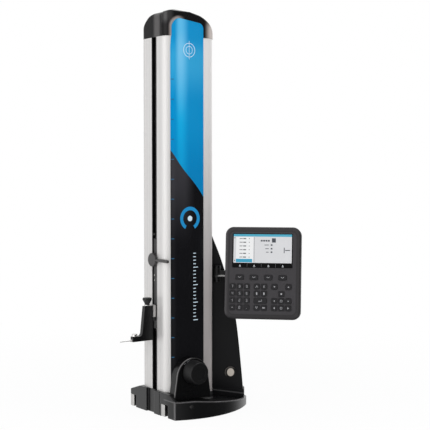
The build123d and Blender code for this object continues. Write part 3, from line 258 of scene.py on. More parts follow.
black_plastic = surface("black_plastic", srgb(10, 10, 11), 0.30, spec=0.36, grain=1100, strength=0.15,
                        edge=0.0012).mat
wheel_rubber = surface("wheel_rubber", srgb(14, 14, 15), 0.50, spec=0.28, grain=1500, strength=0.5,
                       edge=0.0010).mat
lever_plastic = surface("lever_plastic", srgb(44, 42, 42), 0.42, spec=0.6, grain=1000, strength=0.2).mat
cover_plastic = surface("cover_plastic", srgb(40, 39, 39), 0.5, grain=1000, strength=0.2).mat
slot_edge_grey = surface("slot_edge_grey", srgb(84, 82, 82), 0.6, spec=0.2, grain=900, strength=0.2).mat
key_rubber = surface("key_rubber", srgb(24, 23, 25), 0.5, spec=0.25, grain=1600, strength=0.3,
                     edge=0.0007).mat
steel_bright = surface("steel_bright", BARE_STEEL, 0.24, metal=1.0, vary=0.08, grain=600, strength=0.1).mat
steel_ground = surface("steel_ground", DULL_STEEL, 0.30, metal=1.0, vary=0.1, grain=350, strength=0.2,
                       stretch=(1.0, 1.0, 0.05)).mat
alu_plain = surface("alu_plain", BARE_ALU, 0.38, metal=1.0, vary=0.07, grain=500, strength=0.2).mat
dark_metal = surface("dark_metal", (0.07, 0.07, 0.072, 1), 0.34, metal=1.0, vary=0.1, strength=0.2).mat
iron_weight = surface("iron_weight", srgb(62, 60, 58), 0.55, metal=0.6, grain=400, strength=0.6).mat
belt_rubber = surface("belt_rubber", srgb(22, 22, 22), 0.7, spec=0.25, grain=300, strength=0.7,
                      stretch=(0.4, 0.4, 3.0)).mat
battery_wrap = surface("battery_wrap", srgb(46, 70, 108), 0.4, grain=200, strength=0.2).mat
mark_light = surface("mark_light", srgb(158, 157, 160), 0.5, vary=0.04, grain=900, strength=0.1).mat
mark_grey = surface("mark_grey", srgb(120, 120, 124), 0.5, vary=0.06, grain=900, strength=0.1).mat
screen_glass = surface("screen_glass", srgb(5, 5, 6), 0.16, spec=0.08, vary=0.1, grain=60, strength=0.02).mat


# ---------------------------------------------------------------- base, dome and grip
RIM_HIGHLIGHT = (0.0420, 0.0436, 0.0452, 0.0458)     # heights of the painted highlight along the rim's top edge
RIM_FRONT = (-0.050, -0.060)                    # y over which that line sets in, towards the front
RIM_LEVEL_TO = -0.030                           # beyond this x the rim's top falls
RIM_FALL = 0.128                                # slope of that fall
CORNER_HIGHLIGHT = (0.1822, 0.1846)                  # -(x + y), out towards the front left corner
CORNER_HIGHLIGHT_ACROSS = (0.807, -0.590, 0.0)              # level direction in which the painted corner highlight ends
CORNER_HIGHLIGHT_END = (-0.0042, -0.0026)
GLOSS_Y = (-0.085, -0.055)                      # the front wall is glossier towards its right
GLOSS_X = (-0.06, 0.13)


def cast_material():
    """Black enamel with a painted highlight along the top of the rim and on the front left corner."""
    g = surface("cast_black", srgb(13, 13, 14), 0.30, grain=900, strength=0.2, edge=0.0030)
    x, y, z = g.dot(X_AXIS), g.dot(Y_AXIS), g.dot(Z_AXIS)
    rim_top = g.scaled(g.past(x, RIM_LEVEL_TO), RIM_FALL, z)
    # painted highlights: a line along the rim's top edge and a band down the front left corner
    rim = g.times(g.band(rim_top, *RIM_HIGHLIGHT), g.ramp(y, *RIM_FRONT, 0.0, 0.72))
    outward = g.times(g.plus(x, y), -1.0)
    corner = g.times(g.ramp(outward, *CORNER_HIGHLIGHT), g.fall(g.dot(CORNER_HIGHLIGHT_ACROSS), *CORNER_HIGHLIGHT_END))
    g.tint(g.times(g.larger(rim, corner), 0.85), srgb(100, 98, 99))
    gloss = g.times(g.fall(y, *GLOSS_Y), g.ramp(x, *GLOSS_X, -0.22, 0.40))
    g.set(Specular_IOR_Level=g.plus(gloss, 0.50))
    return g.mat


DOME_HIGHLIGHT_Y = (-0.0876, -0.0868, -0.0852, -0.0842)
DOME_HIGHLIGHT_X = (-0.030, -0.014)


def dome_material():
    """Black plastic with a painted highlight along the left of its front edge."""
    g = surface("dome_plastic", srgb(11, 11, 12), 0.28, spec=0.30, grain=1100, strength=0.12, edge=0.0030)
    edge_highlight = g.times(g.band(g.dot(Y_AXIS), *DOME_HIGHLIGHT_Y), g.fall(g.dot(X_AXIS), *DOME_HIGHLIGHT_X))
    g.tint(g.times(edge_highlight, 0.8), srgb(104, 102, 102))
    return g.mat


SILL_HIGHLIGHT = (0.0394, 0.0406, 0.0430, 0.0438)    # heights of the painted highlight line at the grip's left foot
SILL_FROM = 0.085                               # x of the grip's left foot
SILL_FALL = 0.145                               # slope of that line


def grip_material():
    """Black plastic with a painted highlight along the sill, falling to the right along the base."""
    g = surface("grip_plastic", srgb(10, 10, 12), 0.34, spec=0.14, grain=1300, strength=0.2, edge=0.0014)
    level = g.scaled(g.minus(g.dot(X_AXIS), SILL_FROM), SILL_FALL, g.dot(Z_AXIS))
    g.tint(g.times(g.band(level, *SILL_HIGHLIGHT), 0.6), srgb(86, 85, 86))
    return g.mat


BUTTON_MIDDLE = (0.13777, -0.04230, 0.086)
BUTTON_ACROSS = (0.7954, -0.6061, 0.0)      # level, along the grip's wall
BUTTON_WIDE, BUTTON_HIGH = 0.0094, 0.0107   # half sizes of the button's visible face
BUTTON_SHADE_EDGE = (0.96, 1.04)                  # part of those half sizes at which painted shade darkens the edge
BEZEL_RADIUS = 0.0155
BEZEL_EDGE = (0.78, 0.88)                   # part of that radius
BEZEL_LIT = (-0.004, 0.012)                 # distance towards the upper left


def button_radius(g, wide, high):
    """1 on an ellipse round the button's middle, less inside it and more outside."""
    across = g.math("DIVIDE", g.dot(BUTTON_ACROSS, BUTTON_MIDDLE), wide)
    up = g.math("DIVIDE", g.dot(Z_AXIS, BUTTON_MIDDLE), high)
    return g.hypot(across, up)


def button_material():
    """Warm bare metal; its edge is painted dark as shade in the recess."""
    g = surface("button_metal", (0.50, 0.455, 0.405, 1), 0.36, metal=1.0, vary=0.06, grain=420,
                strength=0.15)
    g.tint(g.ramp(button_radius(g, BUTTON_WIDE, BUTTON_HIGH), *BUTTON_SHADE_EDGE), srgb(18, 17, 16))
    return g.mat


def bezel_material():
    """Black ring, its outer edge lit on the upper left."""
    g = surface("bezel_plastic", srgb(7, 7, 8), 0.40, spec=0.2, grain=1100, strength=0.15)
    upper_left = g.minus(g.dot(Z_AXIS, BUTTON_MIDDLE), g.dot(BUTTON_ACROSS, BUTTON_MIDDLE))
    outer_edge = g.ramp(button_radius(g, BEZEL_RADIUS, BEZEL_RADIUS), *BEZEL_EDGE)
    g.tint(g.times(g.ramp(upper_left, *BEZEL_LIT), outer_edge, 0.45), srgb(112, 107, 102))
    return g.mat


cast_black = cast_material()
dome_plastic = dome_material()
grip_plastic = grip_material()
button_metal = button_material()
bezel_plastic = bezel_material()


# ---------------------------------------------------------------- swivel, probe mount and scale
BAR_HIGHLIGHT = (0.3430, 0.3440, 0.3465, 0.3475)     # heights of the painted highlight along the swivel's bar
BAR_FROM = (0.0880, 0.0920)                     # x where the bar begins
COLLAR_LIT = (0.0945, 0.1000)                  # x where painted shade on the collar's ring gives way to a painted highlight
MOUNT_PAD_X = (-0.0779, -0.0775)
MOUNT_PAD_Z = (0.2478, 0.2482)


def swivel_material():
    """Dark swivel with a painted highlight, pale and not metallic, along its bar."""
    g = Material("swivel_metal")
    fine = g.noise(500, 3.0)
    # bare: the painted highlight band along the bar
    bare = g.times(g.band(g.dot(Z_AXIS), *BAR_HIGHLIGHT), g.ramp(g.dot(X_AXIS), *BAR_FROM))
    dark = g.mix(fine, (0.010, 0.010, 0.010, 1), (0.016, 0.016, 0.016, 1))
    g.set(Base_Color=g.mix(bare, dark, DULL_STEEL))
    g.set(Roughness=g.between(fine, 0.24, 0.40), Specular_IOR_Level=0.2)
    g.bump(fine, 0.2, FINE_DEPTH, 0.0012)
    return g.mat


def satin_material():
    """The collar's ring, painted dark as shade on its left and pale as a highlight on its right."""
    g = surface("steel_satin", (0.02, 0.02, 0.02, 1), 0.45, metal=0.2, vary=0.1, grain=500, strength=0.1)
    g.tint(g.ramp(g.dot(X_AXIS), *COLLAR_LIT), BARE_ALU)
    return g.mat


def mount_material():
    """Blackened bracket with a bare ground pad where the probe arm sits."""
    g = Material("mount_finish")
    fine = g.noise(600, 3.0)
    bare = g.times(g.fall(g.dot(X_AXIS), *MOUNT_PAD_X), g.ramp(g.dot(Z_AXIS), *MOUNT_PAD_Z))
    black = g.mix(fine, srgb(20, 20, 21), srgb(30, 30, 31))
    g.set(Base_Color=g.mix(bare, black, BARE_STEEL), Metallic=g.times(bare, 0.9))
    g.set(Roughness=g.between(fine, 0.32, 0.46))
    g.bump(fine, 0.15, FINE_DEPTH, 0.0006)
    return g.mat


def glass_material():
    """Slightly cloudy glass of the scale."""
    g = Material("glass_clear")
    g.set(Base_Color=g.mix(g.noise(30), (0.35, 0.42, 0.42, 1), (0.45, 0.5, 0.5, 1)), Roughness=0.08)
    return g.mat


swivel_metal = swivel_material()
steel_satin = satin_material()
mount_finish = mount_material()
glass_clear = glass_material()


# ---------------------------------------------------------------- column and cap
CASING_FRONT = (0.020, 0.034)       # x where the left flank gives way to the front strip
STRIP_SHADE_FADE = (0.20, 0.92)           # heights over which painted shade at the front strip's foot gives way to a painted reflection at its top
BRUSH_STRETCH = (1.0, 1.0, 0.012)
CORNER_SHADE = (-0.049, -0.040)     # y over which the front corner is shaded, and beside it lit
CORNER_LIGHT = (-0.034, -0.040)
BAND_TURNS, BAND_DEPTH = 520.0, 0.035


def casing_material():
    """Satin aluminium, brushed along its height; the front strip is painted dark as shade towards the foot
    and pale as a reflection towards the top.
    """
    g = Material("silver_casing")
    y = g.dot(Y_AXIS)
    brush = g.noise(260.0, 3.0, 0.6, BRUSH_STRETCH)
    slow = g.noise(7.0, 2.0)
    # the flank: shaded into the front corner, with faint upright bands
    corner = g.times(g.ramp(y, *CORNER_SHADE, 0.66, 0.88), g.ramp(y, *CORNER_LIGHT, 1.0, 1.16))
    bands = g.times(g.math("SINE", g.times(y, BAND_TURNS)), BAND_DEPTH)
    silver = g.mix(slow, (0.64, 0.625, 0.615, 1), (0.70, 0.685, 0.675, 1))
    flank = g.mix(g.plus(corner, bands), (0.0, 0.0, 0.0, 1), silver)
    # the front strip: painted shade at the foot, painted reflection higher up
    shaded_foot = g.mix(slow, (0.44, 0.405, 0.395, 1), (0.48, 0.445, 0.435, 1))
    strip = g.mix(g.ramp(g.dot(Z_AXIS), *STRIP_SHADE_FADE), shaded_foot, (0.92, 0.90, 0.885, 1))
    front = g.ramp(g.dot(X_AXIS), *CASING_FRONT)
    g.set(Base_Color=g.mix(g.between(brush, 0.0, 0.08), g.mix(front, flank, strip), DULL_STEEL))
    g.set(Roughness=g.between(brush, 0.38, 0.46), Metallic=g.between(front, 0.34, 0.30))
    g.bump(brush, 0.10, 0.00002, 0.0006)
    return g.mat


FACING_TOP_FALL = 0.126             # slope of the facing's top edge
FACING_LEFT = -0.0616
BEVEL_MIDDLE = (-0.0376, 0.9819)    # x and levelled z of the middle of the bevel's rounded corner
BEVEL_REACH = (0.0245, 0.0315)      # distance from there over which the bevel fades
BEVEL_X, BEVEL_Y = (-0.045, -0.022), (-0.040, -0.038)
END_X, END_Y, END_Z = (0.036, 0.060), (-0.036, -0.020), (1.010, 0.985)
SHEEN_X, SHEEN_Y = (-0.066, -0.060), (-0.034, -0.020, -0.010, 0.006)
CREST_Y, CREST_Z = (-0.040, -0.036), (0.985, 1.005)


def cap_material():
    """Glossy dark plastic; the frame has a pale bevel round the facing and a painted reflection on its right
    end.
    """
    g = Material("cap_plastic")
    x, y, z = g.dot(X_AXIS), g.dot(Y_AXIS), g.dot(Z_AXIS)
    fine = g.noise(1000, 3.0, 0.6)
    slow = g.noise(9.0, 2.0)
    # distance outside the rounded top left of the facing, whose top falls to the right
    top = g.scaled(g.minus(x, FACING_LEFT), FACING_TOP_FALL, z)
    far = g.hypot(g.past(BEVEL_MIDDLE[0], x), g.past(top, BEVEL_MIDDLE[1]))
    bevel = g.times(g.fall(far, *BEVEL_REACH), g.fall(x, *BEVEL_X), g.fall(y, *BEVEL_Y))
    # end: painted reflection, pale grey-brown, on the frame's right end
    end = g.times(g.ramp(x, *END_X), g.ramp(z, *END_Z), g.fall(y, *END_Y))
    # a soft upright sheen on the left flank, between two duller bands
    sheen = g.times(g.band(y, *SHEEN_Y), g.fall(x, *SHEEN_X))
    crest = g.times(g.fall(y, *CREST_Y), g.ramp(z, *CREST_Z))
    dark = g.mix(slow, srgb(14, 13, 14), srgb(19, 18, 19))
    tone = g.mix(g.between(fine, 0.0, 0.3), dark, srgb(28, 27, 28))
    tone = g.mix(g.times(sheen, 0.8), tone, srgb(72, 69, 69))
    tone = g.mix(end, tone, srgb(196, 187, 182))
    g.set(Base_Color=g.mix(bevel, tone, srgb(150, 140, 137)), Roughness=g.between(fine, 0.22, 0.34))
    g.set(Specular_IOR_Level=g.between(g.larger(sheen, crest), 0.10, 0.40))
    g.bump(fine, 0.12, GRAIN_DEPTH, 0.0030)
    return g.mat


LINE_SLOPE, LINE_HEIGHT = -1.234, 0.594     # between blue and black: slope, and height at x = 0
WAVE_SWING, WAVE_TURNS, WAVE_START = 0.004, 58.0, 0.6
INK_EDGE = 0.0004
GLOW_RISE, GLOW_END = (0.79, 0.89), (0.91, 0.96)        # heights
DEEP_FALL = (0.60, 0.76)
REFLECTION_ACROSS = (-0.055, -0.039, -0.036, -0.008)
REFLECTION_RISE = (0.60, 0.84)
GLARE_RISE, GLARE_END = (0.73, 0.93), (0.93, 0.98)
BLACK_REFLECTION_X, BLACK_REFLECTION_Z = (-0.028, 0.010), (0.41, 0.64)
DULL_LEFT = (-0.064, -0.044)                # x over which the gloss sets in
CROWN_MIDDLE, CROWN_DEPTH = -0.012, -1.8    # the reflecting face is a shallow parabola across


def film_material():
    """Blue over black, parted by one slanted wave, on a face that is a little crowned."""
    g = Material("film_print")
    x, z = g.dot(X_AXIS), g.dot(Z_AXIS)
    slow = g.noise(5.0, 2.0)
    wave = g.times(g.math("SINE", g.scaled(x, WAVE_TURNS, WAVE_START)), WAVE_SWING)
    line = g.plus(g.scaled(x, LINE_SLOPE, LINE_HEIGHT), wave)
    blue = g.ramp(g.minus(z, line), -INK_EDGE, INK_EDGE)
    # painted reflection makes the blue paler towards the top; the blue is deeper towards the wave
    sky = g.mix(slow, srgb(0, 134, 192), srgb(0, 139, 198))
    glow = g.times(g.ramp(z, *GLOW_RISE, 0.0, 0.55), g.ramp(z, *GLOW_END, 1.0, 0.1))
    sky = g.mix(glow, sky, srgb(62, 170, 214))
    sky = g.mix(g.ramp(z, *DEEP_FALL, 0.8, 0.0), sky, srgb(0, 122, 180))
    # a soft upright painted reflection left of the middle, whitest near the top
    reflection = g.band(x, *REFLECTION_ACROSS)
    soft = g.times(reflection, g.ramp(z, *REFLECTION_RISE, 0.40, 0.80))
    glare = g.times(reflection, g.ramp(z, *GLARE_RISE, 0.0, 0.36), g.ramp(z, *GLARE_END, 1.0, 0.65))
    sky = g.mix(glare, g.mix(soft, sky, srgb(20, 176, 228)), srgb(176, 218, 240))
    # painted reflection on the black, fading downwards
    black_reflection = g.times(g.fall(x, *BLACK_REFLECTION_X), g.ramp(z, *BLACK_REFLECTION_Z))
    night = g.mix(black_reflection, g.mix(slow, srgb(16, 16, 18), srgb(20, 20, 23)), srgb(54, 53, 57))
    g.set(Base_Color=g.mix(blue, night, sky), Roughness=g.between(g.noise(60.0, 3.0), 0.14, 0.22))
    g.set(Specular_IOR_Level=g.ramp(x, *DULL_LEFT, 0.04, 0.25))
    off = g.minus(x, CROWN_MIDDLE)
    crown = g.bump(g.times(off, off, CROWN_DEPTH), 1.0, 1.0)
    g.bump(g.noise(400.0, 2.0), 0.05, 0.00002, over=crown)
    return g.mat


silver_casing = casing_material()
cap_plastic = cap_material()
film_print = film_material()


# ---------------------------------------------------------------- panel
PANEL_MIDDLE = Vector((0.1716, -0.1376, 0.3555))
PANEL_TURN = Euler((radians(-8), 0, radians(-45))).to_matrix()
PANEL_X, PANEL_Y, PANEL_Z = (PANEL_TURN @ Vector(v) for v in (X_AXIS, Y_AXIS, Z_AXIS))
FIELD_HALF_WIDTH, FIELD_HALF_HEIGHT = 0.074, 0.094      # straight sides of the key field
FIELD_EDGE = (0.0125, 0.0145)                           # how far it reaches beyond them
FIELD_GROOVE = (0.0110, 0.0130, 0.0145, 0.0165)
LEFT_RIM, RIGHT_RIM, LOWER_RIM = (-0.0985, -0.0890), (0.0860, 0.0965), (-0.1185, -0.1040)


def panel_material():
    """A slightly lighter key field, with a fine groove round it, inside a darker frame."""
    g = Material("panel_plastic")
    x, z = g.dot(PANEL_X, PANEL_MIDDLE), g.dot(PANEL_Z, PANEL_MIDDLE)
    fine = g.noise(1400, 3.0, 0.6)
    slow = g.noise(7.0, 2.0)
    beyond_side = g.past(g.math("ABSOLUTE", x), FIELD_HALF_WIDTH)
    beyond_end = g.past(g.math("ABSOLUTE", z), FIELD_HALF_HEIGHT)
    far = g.hypot(beyond_side, beyond_end)
    frame_tone = g.mix(slow, srgb(42, 40, 41), srgb(48, 46, 47))
    field_tone = g.mix(slow, srgb(48, 46, 48), srgb(54, 52, 54))
    tone = g.mix(g.fall(far, *FIELD_EDGE), frame_tone, field_tone)
    tone = g.mix(g.between(fine, 0.0, 0.2), tone, srgb(76, 74, 78))
    tone = g.mix(g.times(g.band(far, *FIELD_GROOVE), 0.45), tone, srgb(24, 23, 24))
    # the left rim catches light, the lower and right rims lie in shade
    tone = g.mix(g.times(g.fall(x, *LEFT_RIM), 0.35), tone, srgb(104, 102, 104))
    dark = g.larger(g.fall(z, *LOWER_RIM), g.times(g.ramp(x, *RIGHT_RIM), 0.6))
    g.set(Base_Color=g.mix(g.times(dark, 0.75), tone, srgb(20, 19, 20)))
    g.set(Roughness=g.between(fine, 0.46, 0.62), Specular_IOR_Level=0.25)
    g.bump(fine, 0.35, GRAIN_DEPTH, 0.0015)
    return g.mat


panel_plastic = panel_material()


def flat_print(name, colour, glow=0.0):
    """Ink or a lit part of the screen: even, with a faint grain."""
    g = Material(name)
    grain = g.noise(1800.0, 2.0)
    tone = g.mix(grain, shade(colour, 0.94), shade(colour, 1.06))
    g.set(Base_Color=tone, Roughness=g.between(grain, 0.32, 0.42))
    if glow:
        g.set(Emission_Color=tone, Emission_Strength=glow)
    return g.mat


SCREEN_GLOW = 0.45
SCREEN_DIM = 0.62


def lit_print(name, colour):
    return flat_print(name, shade(colour, SCREEN_DIM), SCREEN_GLOW)


lcd_grey = lit_print("lcd_grey", srgb(218, 218, 220))
lcd_white = lit_print("lcd_white", srgb(242, 242, 242))
lcd_head = lit_print("lcd_head", srgb(70, 168, 196))
lcd_row = lit_print("lcd_row", srgb(48, 158, 192))
lcd_ink = lit_print("lcd_ink", srgb(96, 98, 102))
lcd_dark = lit_print("lcd_dark", srgb(60, 64, 72))
lcd_icon = lit_print("lcd_icon", srgb(190, 192, 196))
ink_blue = flat_print("ink_blue", srgb(0, 136, 196))
ink_navy = flat_print("ink_navy", srgb(12, 60, 100))
ink_tick = flat_print("ink_tick", srgb(16, 92, 132))
ink_pale = flat_print("ink_pale", srgb(206, 226, 238))

FINISH = {
    "base_casting": cast_black, "air_bearing_pads": alu_plain, "guide_pads": steel_ground,
    "column_core": alu_plain, "guide_rail": steel_bright, "glass_scale": glass_clear,
    "front_casing": silver_casing, "rear_casing": silver_casing, "slot_liners": black_plastic,
    "front_film": film_print, "top_cap_rear": cap_plastic, "top_cap_frame": cap_plastic,
    "drive_motor": dark_metal, "drive_belt": belt_rubber, "drive_pulley": alu_plain,
    "top_pulley": alu_plain, "counterweight": iron_weight, "carriage_frame": alu_plain,
    "rail_blocks": steel_ground, "reading_head": dark_metal, "carriage_cover": cover_plastic,
    "probe_mount": mount_finish, "probe_arm": black_plastic, "probe_clamp_knob": black_plastic,
    "stylus": steel_bright, "stylus_clamp_screw": steel_bright, "lock_lever": lever_plastic,
    "wheel_dome": dome_plastic, "jog_encoder": dark_metal, "jog_wheel": wheel_rubber,
    "grip_shell_front": grip_plastic, "grip_shell_rear": grip_plastic, "button_bezel": bezel_plastic,
    "air_button": button_metal, "battery_pack": battery_wrap, "housing_screws": dark_metal,
    "charging_socket": black_plastic, "arm_bracket": black_plastic, "swivel_arm": swivel_metal,
    "panel_rear_shell": panel_plastic, "panel_front_shell": panel_plastic, "display": screen_glass,
}
for node_name, node_object in NODES.items():
    node_object.data.materials.clear()
    node_object.data.materials.append(FINISH.get(node_name, key_rubber))


# ---------------------------------------------------------------- mesh helpers
WELD = 1e-7
PRINT_GAP = 0.02        # keeps a print clear of the face that it lies on, mm
LEGEND_DEPTH = 0.07
FACING_INK_DEPTH = 0.08


def piece(name, verts, faces, body, material):
    """A mesh that rides on a body and takes the material given."""
    mesh = bpy.data.meshes.new(name)
    mesh.from_pydata([tuple(v) for v in verts], [], faces)
    bm = bmesh.new()
    bm.from_mesh(mesh)
    bmesh.ops.remove_doubles(bm, verts=bm.verts, dist=WELD)
    bmesh.ops.recalc_face_normals(bm, faces=bm.faces)
    bm.to_mesh(mesh)
    bm.free()
    mesh.materials.append(material)
    obj = bpy.data.objects.new(name, mesh)
    scene.collection.objects.link(obj)
    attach(obj, body)


def plate(outline, depth, put):
    """Verts and faces of a thin plate: outline in mm, its face raised by depth, placed by put(x, z, out)."""
    n = len(outline)
    verts = [put(x, z, 0.0) for x, z in outline] + [put(x, z, depth) for x, z in outline]
    faces = [tuple(range(n)), tuple(range(2 * n - 1, n - 1, -1))]
    faces += [(i, (i + 1) % n, n + (i + 1) % n, n + i) for i in range(n)]
    return verts, faces


def plates(name, outlines, depth, put, body, material):
    """One piece made of a thin plate for each outline."""
    verts, faces = [], []
    for outline in outlines:
        v, f = plate(outline, depth, put)
        faces += [tuple(i + len(verts) for i in face) for face in f]
        verts += v
    piece(name, verts, faces, body, material)


def lathe(name, profile, middle, axis, body, material):
    """A ring or disc: closed profile of (radius, height) in mm turned about an axis through middle."""
    count = 40
    axis = Vector(axis).normalized()
    u = axis.orthogonal().normalized()
    v = axis.cross(u)
    verts, faces = [], []
    n = len(profile)
    for i in range(count):
        turn = 2 * pi * i / count
        out = u * cos(turn) + v * sin(turn)
        verts += [(Vector(middle) + axis * h + out * r) * MM for r, h in profile]
        this, after = i * n, (i + 1) % count * n
        faces += [(this + j, this + (j + 1) % n, after + (j + 1) % n, after + j) for j in range(n)]
    piece(name, verts, faces, body, material)


# ---------------------------------------------------------------- outlines
def rect(x0, x1, z0, z1):
    return [(x0, z0), (x1, z0), (x1, z1), (x0, z1)]


def mid_rect(x, z, half_width, half_height):
    return rect(x - half_width, x + half_width, z - half_height, z + half_height)


def disc(x, z, radius, count=20):
    turns = [2 * pi * i / count for i in range(count)]
    return [(x + radius * cos(a), z + radius * sin(a)) for a in turns]


def arc(x, z, radius, start, end, count):
    turns = [radians(start + (end - start) * i / count) for i in range(count + 1)]
    return [(x + radius * cos(a), z + radius * sin(a)) for a in turns]


def ring(x, z, inner, outer, start=0.0, end=360.0, count=48):
    """Outlines that make a flat arc or ring."""
    a, b = arc(x, z, inner, start, end, count), arc(x, z, outer, start, end, count)
    return [[a[i], a[i + 1], b[i + 1], b[i]] for i in range(count)]


def turned(points, x, z, angle=0.0, size=1.0):
    """Points about (0, 0) turned by degrees, scaled and moved to (x, z)."""
    c, s = cos(radians(angle)) * size, sin(radians(angle)) * size
    return [(x + c * px - s * pz, z + s * px + c * pz) for px, pz in points]


def stroke(points, width):
    """Closed outlines of a line of given width through points, one box a leg."""
    out = []
    for (x0, z0), (x1, z1) in zip(points, points[1:]):
        length = sqrt((x1 - x0) ** 2 + (z1 - z0) ** 2)
        dx, dz = (x1 - x0) / length * width / 2, (z1 - z0) / length * width / 2
        out.append([(x0 - dx - dz, z0 - dz + dx), (x1 + dx - dz, z1 + dz + dx),
                    (x1 + dx + dz, z1 + dz - dx), (x0 - dx + dz, z0 - dz - dx)])
    return out


# ---------------------------------------------------------------- faces that pieces lie on
def on_panel(level):
    """Places a point of the panel: x to its right, z up it, out in front of a face at that level."""
    def put(x, z, out):
        return PANEL_MIDDLE + (PANEL_X * x + PANEL_Z * z + PANEL_Y * (level - out)) * MM
    return put


def on_panel_rear(x, z, out):
    return PANEL_MIDDLE + (PANEL_X * x + PANEL_Z * z + PANEL_Y * (PANEL_REAR + out)) * MM


def on_left(x):
    return lambda y, z, out: Vector((x - out, y, z)) * MM


def on_front(y):
    return lambda x, z, out: Vector((x, y - out, z)) * MM


GLASS_LEVEL = -16.5
KEY_LEVEL = -19.1
PANEL_REAR = 17.5
screen_put = on_panel(GLASS_LEVEL + PRINT_GAP)
key_put = on_panel(KEY_LEVEL + PRINT_GAP)

# ---------------------------------------------------------------- screen
LAYER = 0.06                        # each layer of the screen stands this much further out
SCREEN_LEFT, SCREEN_RIGHT = -76.5, 74.5
SCREEN_TOP, HEADER_FOOT = 100.2, 94.0
LIST_TOP, LIST_STEP, LIST_ROWS = 88.6, 9.6, 6
READING_ROWS = (72.5, 63.0, 54.0)
SOFT_KEY_X, SOFT_KEY_STEP, SOFT_KEYS = -59.2, 37.0, 4
SOFT_BAR_X = -41.0                  # left edge of the first bar between two soft labels


def screen(name, outlines, material, layer):
    plates(name, outlines, LAYER * layer, screen_put, "control_panel", material)


def screen_text():
    """Scroll arrows and rows of the list, the line beside it and the names of the readings."""
    out = [[(-74.5, 92.5), (-71.5, 90.5), (-74.5, 88.5)], [(-74.5, 34.0), (-71.5, 32.0), (-74.5, 30.0)]]
    for index in range(LIST_ROWS):
        z = LIST_TOP - LIST_STEP * index
        out += [rect(-61.0, -53.0, z - 0.9, z + 0.9), rect(-51.5, -44.0, z - 1.4, z + 1.4)]
        out += [rect(-37.0, -34.5, z - 0.8, z + 0.8)]
    out += [rect(-23.2, -22.4, 27.0, 93.0)]
    out += [rect(4.0 + 2 * i, 15.0, z - 0.9, z + 0.9) for i, z in enumerate(READING_ROWS)]
    return out


def screen_bold():
    """Bars for the large reading, the small readings and an axis mark."""
    out = [rect(-6.0 + 6.2 * i, -1.2 + 6.2 * i, 81.5, 85.5) for i in range(4)]
    out += [rect(23.0, 33.0, 79.0, 90.0)]
    out += [rect(20.0, 24.5, z - 1.9, z + 1.9) for z in READING_ROWS]
    out += [rect(54.0, 56.0, 52.0, 66.0), rect(57.5, 70.0, 58.0, 60.0)]
    return out


def soft_icons():
    """A small underlined triangle over each soft key."""
    out = []
    for index in range(SOFT_KEYS):
        x = SOFT_KEY_X + SOFT_KEY_STEP * index
        out += [[(x - 2.5, 17.2), (x + 2.5, 17.2), (x, 21.6)], rect(x - 2.5, x + 2.5, 15.4, 16.2)]
    return out


screen("screen_back", [rect(SCREEN_LEFT, SCREEN_RIGHT, 26.0, SCREEN_TOP)], lcd_grey, 1)
screen("screen_header", [rect(SCREEN_LEFT, SCREEN_RIGHT, HEADER_FOOT, SCREEN_TOP)], lcd_head, 2)
screen("screen_list", [rect(-70.0, -25.0, 27.0, 93.2)], lcd_white, 2)
screen("screen_row", [rect(-70.0, -27.5, 27.2, 36.0)], lcd_row, 3)
screen("screen_text", screen_text(), lcd_ink, 4)
screen("screen_bold", screen_bold(), lcd_dark, 4)
screen("screen_soft_icons", soft_icons(), lcd_icon, 1)
bar_lefts = [SOFT_BAR_X + SOFT_KEY_STEP * i for i in range(SOFT_KEYS - 1)]
screen("screen_soft_bars", [rect(left, left + 0.6, 15.0, 24.0) for left in bar_lefts], lcd_ink, 1)

# ---------------------------------------------------------------- key legends
KEY_ROW, KEY_DROP = -35.0, 18.1         # middle of the top row of keys, and the step down to the next
NUMBER_X, KEY_STEP = -77.2, 18.6
FUNCTION_X = -14.0
CURSOR_X, CURSOR_STEP = 31.4, 18.0
FIGURE_SIZE = 1.5
PAD = ["7", "8", "9", "4", "5", "6", "1", "2", "3", "+", "0", "."]
WEDGE = [(-2.6, -1.6), (2.6, -1.6), (0, 2.2)]
# each figure as strokes on a grid two wide and four high
FIGURES = {
    "0": [[(0, 0), (2, 0), (2, 4), (0, 4), (0, 0)]],
    "1": [[(0.4, 3.2), (1.2, 4), (1.2, 0)]],
    "2": [[(0, 4), (2, 4), (2, 2), (0, 2), (0, 0), (2, 0)]],
    "3": [[(0, 4), (2, 4), (2, 0), (0, 0)], [(0.5, 2), (2, 2)]],
    "4": [[(0, 4), (0, 2), (2, 2)], [(2, 4), (2, 0)]],
    "5": [[(2, 4), (0, 4), (0, 2), (2, 2), (2, 0), (0, 0)]],
    "6": [[(2, 4), (0, 4), (0, 0), (2, 0), (2, 2), (0, 2)]],
    "7": [[(0, 4), (2, 4), (0.8, 0)]],
    "8": [[(0, 0), (2, 0), (2, 4), (0, 4), (0, 0)], [(0, 2), (2, 2)]],
    "9": [[(0, 0), (2, 0), (2, 4), (0, 4), (0, 2), (2, 2)]],
    "+": [[(0, 2), (2, 2)], [(1, 3), (1, 1)]],
    ".": [[(0.7, 0.2), (1.3, 0.2)]],
}


def figure(text, x, z, size):
    """Strokes of a number, with its middle at (x, z)."""
    out = []
    for line in FIGURES[text]:
        out += stroke([(x + (px - 1) * size, z + (pz - 2) * size) for px, pz in line], 0.32 * size + 0.35)
    return out


def key_z(row):
    return KEY_ROW - KEY_DROP * row


def legend(name, outlines, body):
    plates(name, outlines, LEGEND_DEPTH, key_put, body, mark_light)


